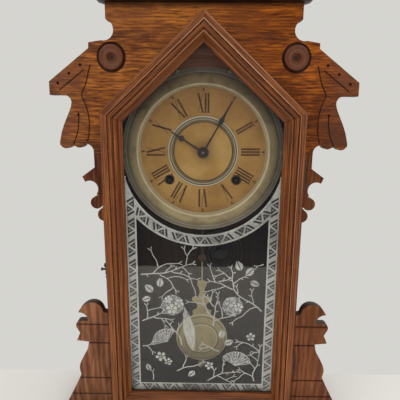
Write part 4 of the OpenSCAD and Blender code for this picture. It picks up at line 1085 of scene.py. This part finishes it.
# %% Layout of the picture
for x, z, size, turn in (
        (-36, 168, 6.5, 0.3), (-27, 176, 5.5, 0.9), (-40, 180, 4.6, 0.2), (34, 178, 6.5, 1.1),
        (44, 171, 5.5, 0.2), (-50, 104, 6.5, 0.8), (-41, 97, 5, 0.1), (10, 92, 5.5, 0.7),
        (60, 132, 5.5, 0.4)):
    blossom(x, z, size, turn)
    taken.append((x, z, size))
for x, z, angle, length in (
        (-58, 190, 2.4, 13), (-50, 196, 1.5, 12), (-61, 182, 3.4, 11), (52, 212, 0.8, 13),
        (46, 218, 2.0, 13), (57, 204, -0.4, 12), (28, 122, 0.4, 12), (24, 130, 1.4, 12),
        (-8, 84, 3.9, 11), (-64, 84, 1.9, 10)):
    leaf(x, z, angle, length)
    taken.append((*ahead(x, z, angle, length / 2), length * 0.4))
FERN, FERN_LONG = (-10, 112, 1.75), 58
fern(*FERN, FERN_LONG, 9)
taken.extend((*ahead(*FERN, FERN_LONG * i / 6), 6) for i in range(7))
for x, z, angle, radius in ((42, 92, 1.35, 19), (-42, 124, 2.2, 17)):
    fan(x, z, angle, radius)
    taken.append((*ahead(x, z, angle, radius * 0.6), radius * 0.6))
for x, z, radius in ((-35, 173, 13.5), (37, 172, 12.5)):
    veils.polygon(circle_points(x, z, radius, 0, 350, 35))
for x, z, angle, length in (
        (-72, 152, 20, 66), (-60, 71, 70, 50), (72, 166, 155, 70), (66, 71, 112, 50), (8, 71, 50, 34),
        (-14, 71, 125, 40), (72, 226, 215, 60), (-72, 212, -20, 60), (14, 146, 78, 66), (-24, 120, 118, 50),
        (72, 112, 190, 40), (-72, 118, 10, 30), (22, 112, 150, 34), (0, 200, 150, 50), (20, 204, 20, 40),
        (-30, 84, 30, 30), (72, 88, 170, 26), (-34, 226, 200, 30)):
    twig(x, z, math.radians(angle), length, TWIG_W)
twigs.made(SILVER, "door")
veils.made(FROST.material, "door")

# %% [markdown]
# ## Stage and light
# A pale table that ends just behind the clock stands in for the room, and the wall over it is the colour
# that the world shows to the camera. The photograph's glass mirrors the table in its lower part and a
# dark room above, so a dark card stands behind the camera for glossy rays alone. Soft lamps and an even
# world light the clock at a plain level. The wall's own brightness is kept for the rays of the camera
# and of reflections, so that it adds no light.


# %% Stage
def stage_plane(name, corners, color):
    plane = add_object(name, mesh_from(name, corners, [(0, 1, 2, 3)]))
    plane.data.materials.append(Paint(name, Roughness=0.8, Base_Color=color).material)
    return plane


FLOOR_Z, TABLE_R, TABLE_END, CARD_Y = -0.0004, 3, 0.070, -0.597
SKY, WALL = (0.72, 0.72, 0.71), (0.665, 0.66, 0.63)
table = ((-TABLE_R, -TABLE_R), (TABLE_R, -TABLE_R), (TABLE_R, TABLE_END), (-TABLE_R, TABLE_END))
stage_plane("table", [(x, y, FLOOR_Z) for x, y in table], (0.73, 0.715, 0.69))
card = stage_plane("dark_card", [(-2, CARD_Y, 0), (2, CARD_Y, 0), (2, CARD_Y, 2), (-2, CARD_Y, 2)],
                   (0.16, 0.17, 0.20))
for ray in ("camera", "diffuse", "transmission", "volume_scatter", "shadow"):
    setattr(card, "visible_" + ray, False)

world = bpy.data.worlds.new("room")
bpy.context.scene.world = world
world.use_nodes = True
room = world.node_tree
sky = room.nodes["Background"].inputs
feed(room, sky["Color"], SKY)
feed(room, sky["Strength"], 0.55)
wall = add_node(room, "ShaderNodeBackground", {"Color": WALL})
path = add_node(room, "ShaderNodeLightPath").outputs
seen = path["Is Camera Ray"]
for ray in ("Is Glossy Ray", "Is Transmission Ray"):
    seen = add_node(room, "ShaderNodeMath", {0: seen, 1: path[ray]}, operation="MAXIMUM").outputs[0]
choice = add_node(room, "ShaderNodeMixShader", {
    0: seen, 1: room.nodes["Background"].outputs[0], 2: wall.outputs[0]})
feed(room, room.nodes["World Output"].inputs["Surface"], choice.outputs[0])

AIM = Vector((0, 0, 0.3))


def softbox(name, place, size, watts, color, mirrored=True):
    lamp = bpy.data.lights.new(name, "AREA")
    lamp.shape = "RECTANGLE"
    lamp.size, lamp.size_y = size
    lamp.energy, lamp.color = watts, color
    holder = add_object(name, lamp)
    holder.location = place
    holder.rotation_euler = (AIM - Vector(place)).to_track_quat("-Z", "Y").to_euler()
    holder.visible_glossy = mirrored


softbox("window", (-1.2, -1.3, 1.5), (1.2, 1.2), 11, (1.0, 0.98, 0.95))
softbox("ceiling", (0.5, -0.3, 2.6), (2.4, 2.4), 26, (1.0, 0.97, 0.93))
softbox("front", (0.1, -1.6, 0.7), (1.4, 0.8), 14, (1.0, 0.99, 0.97), mirrored=False)
softbox("behind", (0.7, 1.6, 1.3), (1.2, 1.2), 12, (1.0, 0.99, 0.97), mirrored=False)
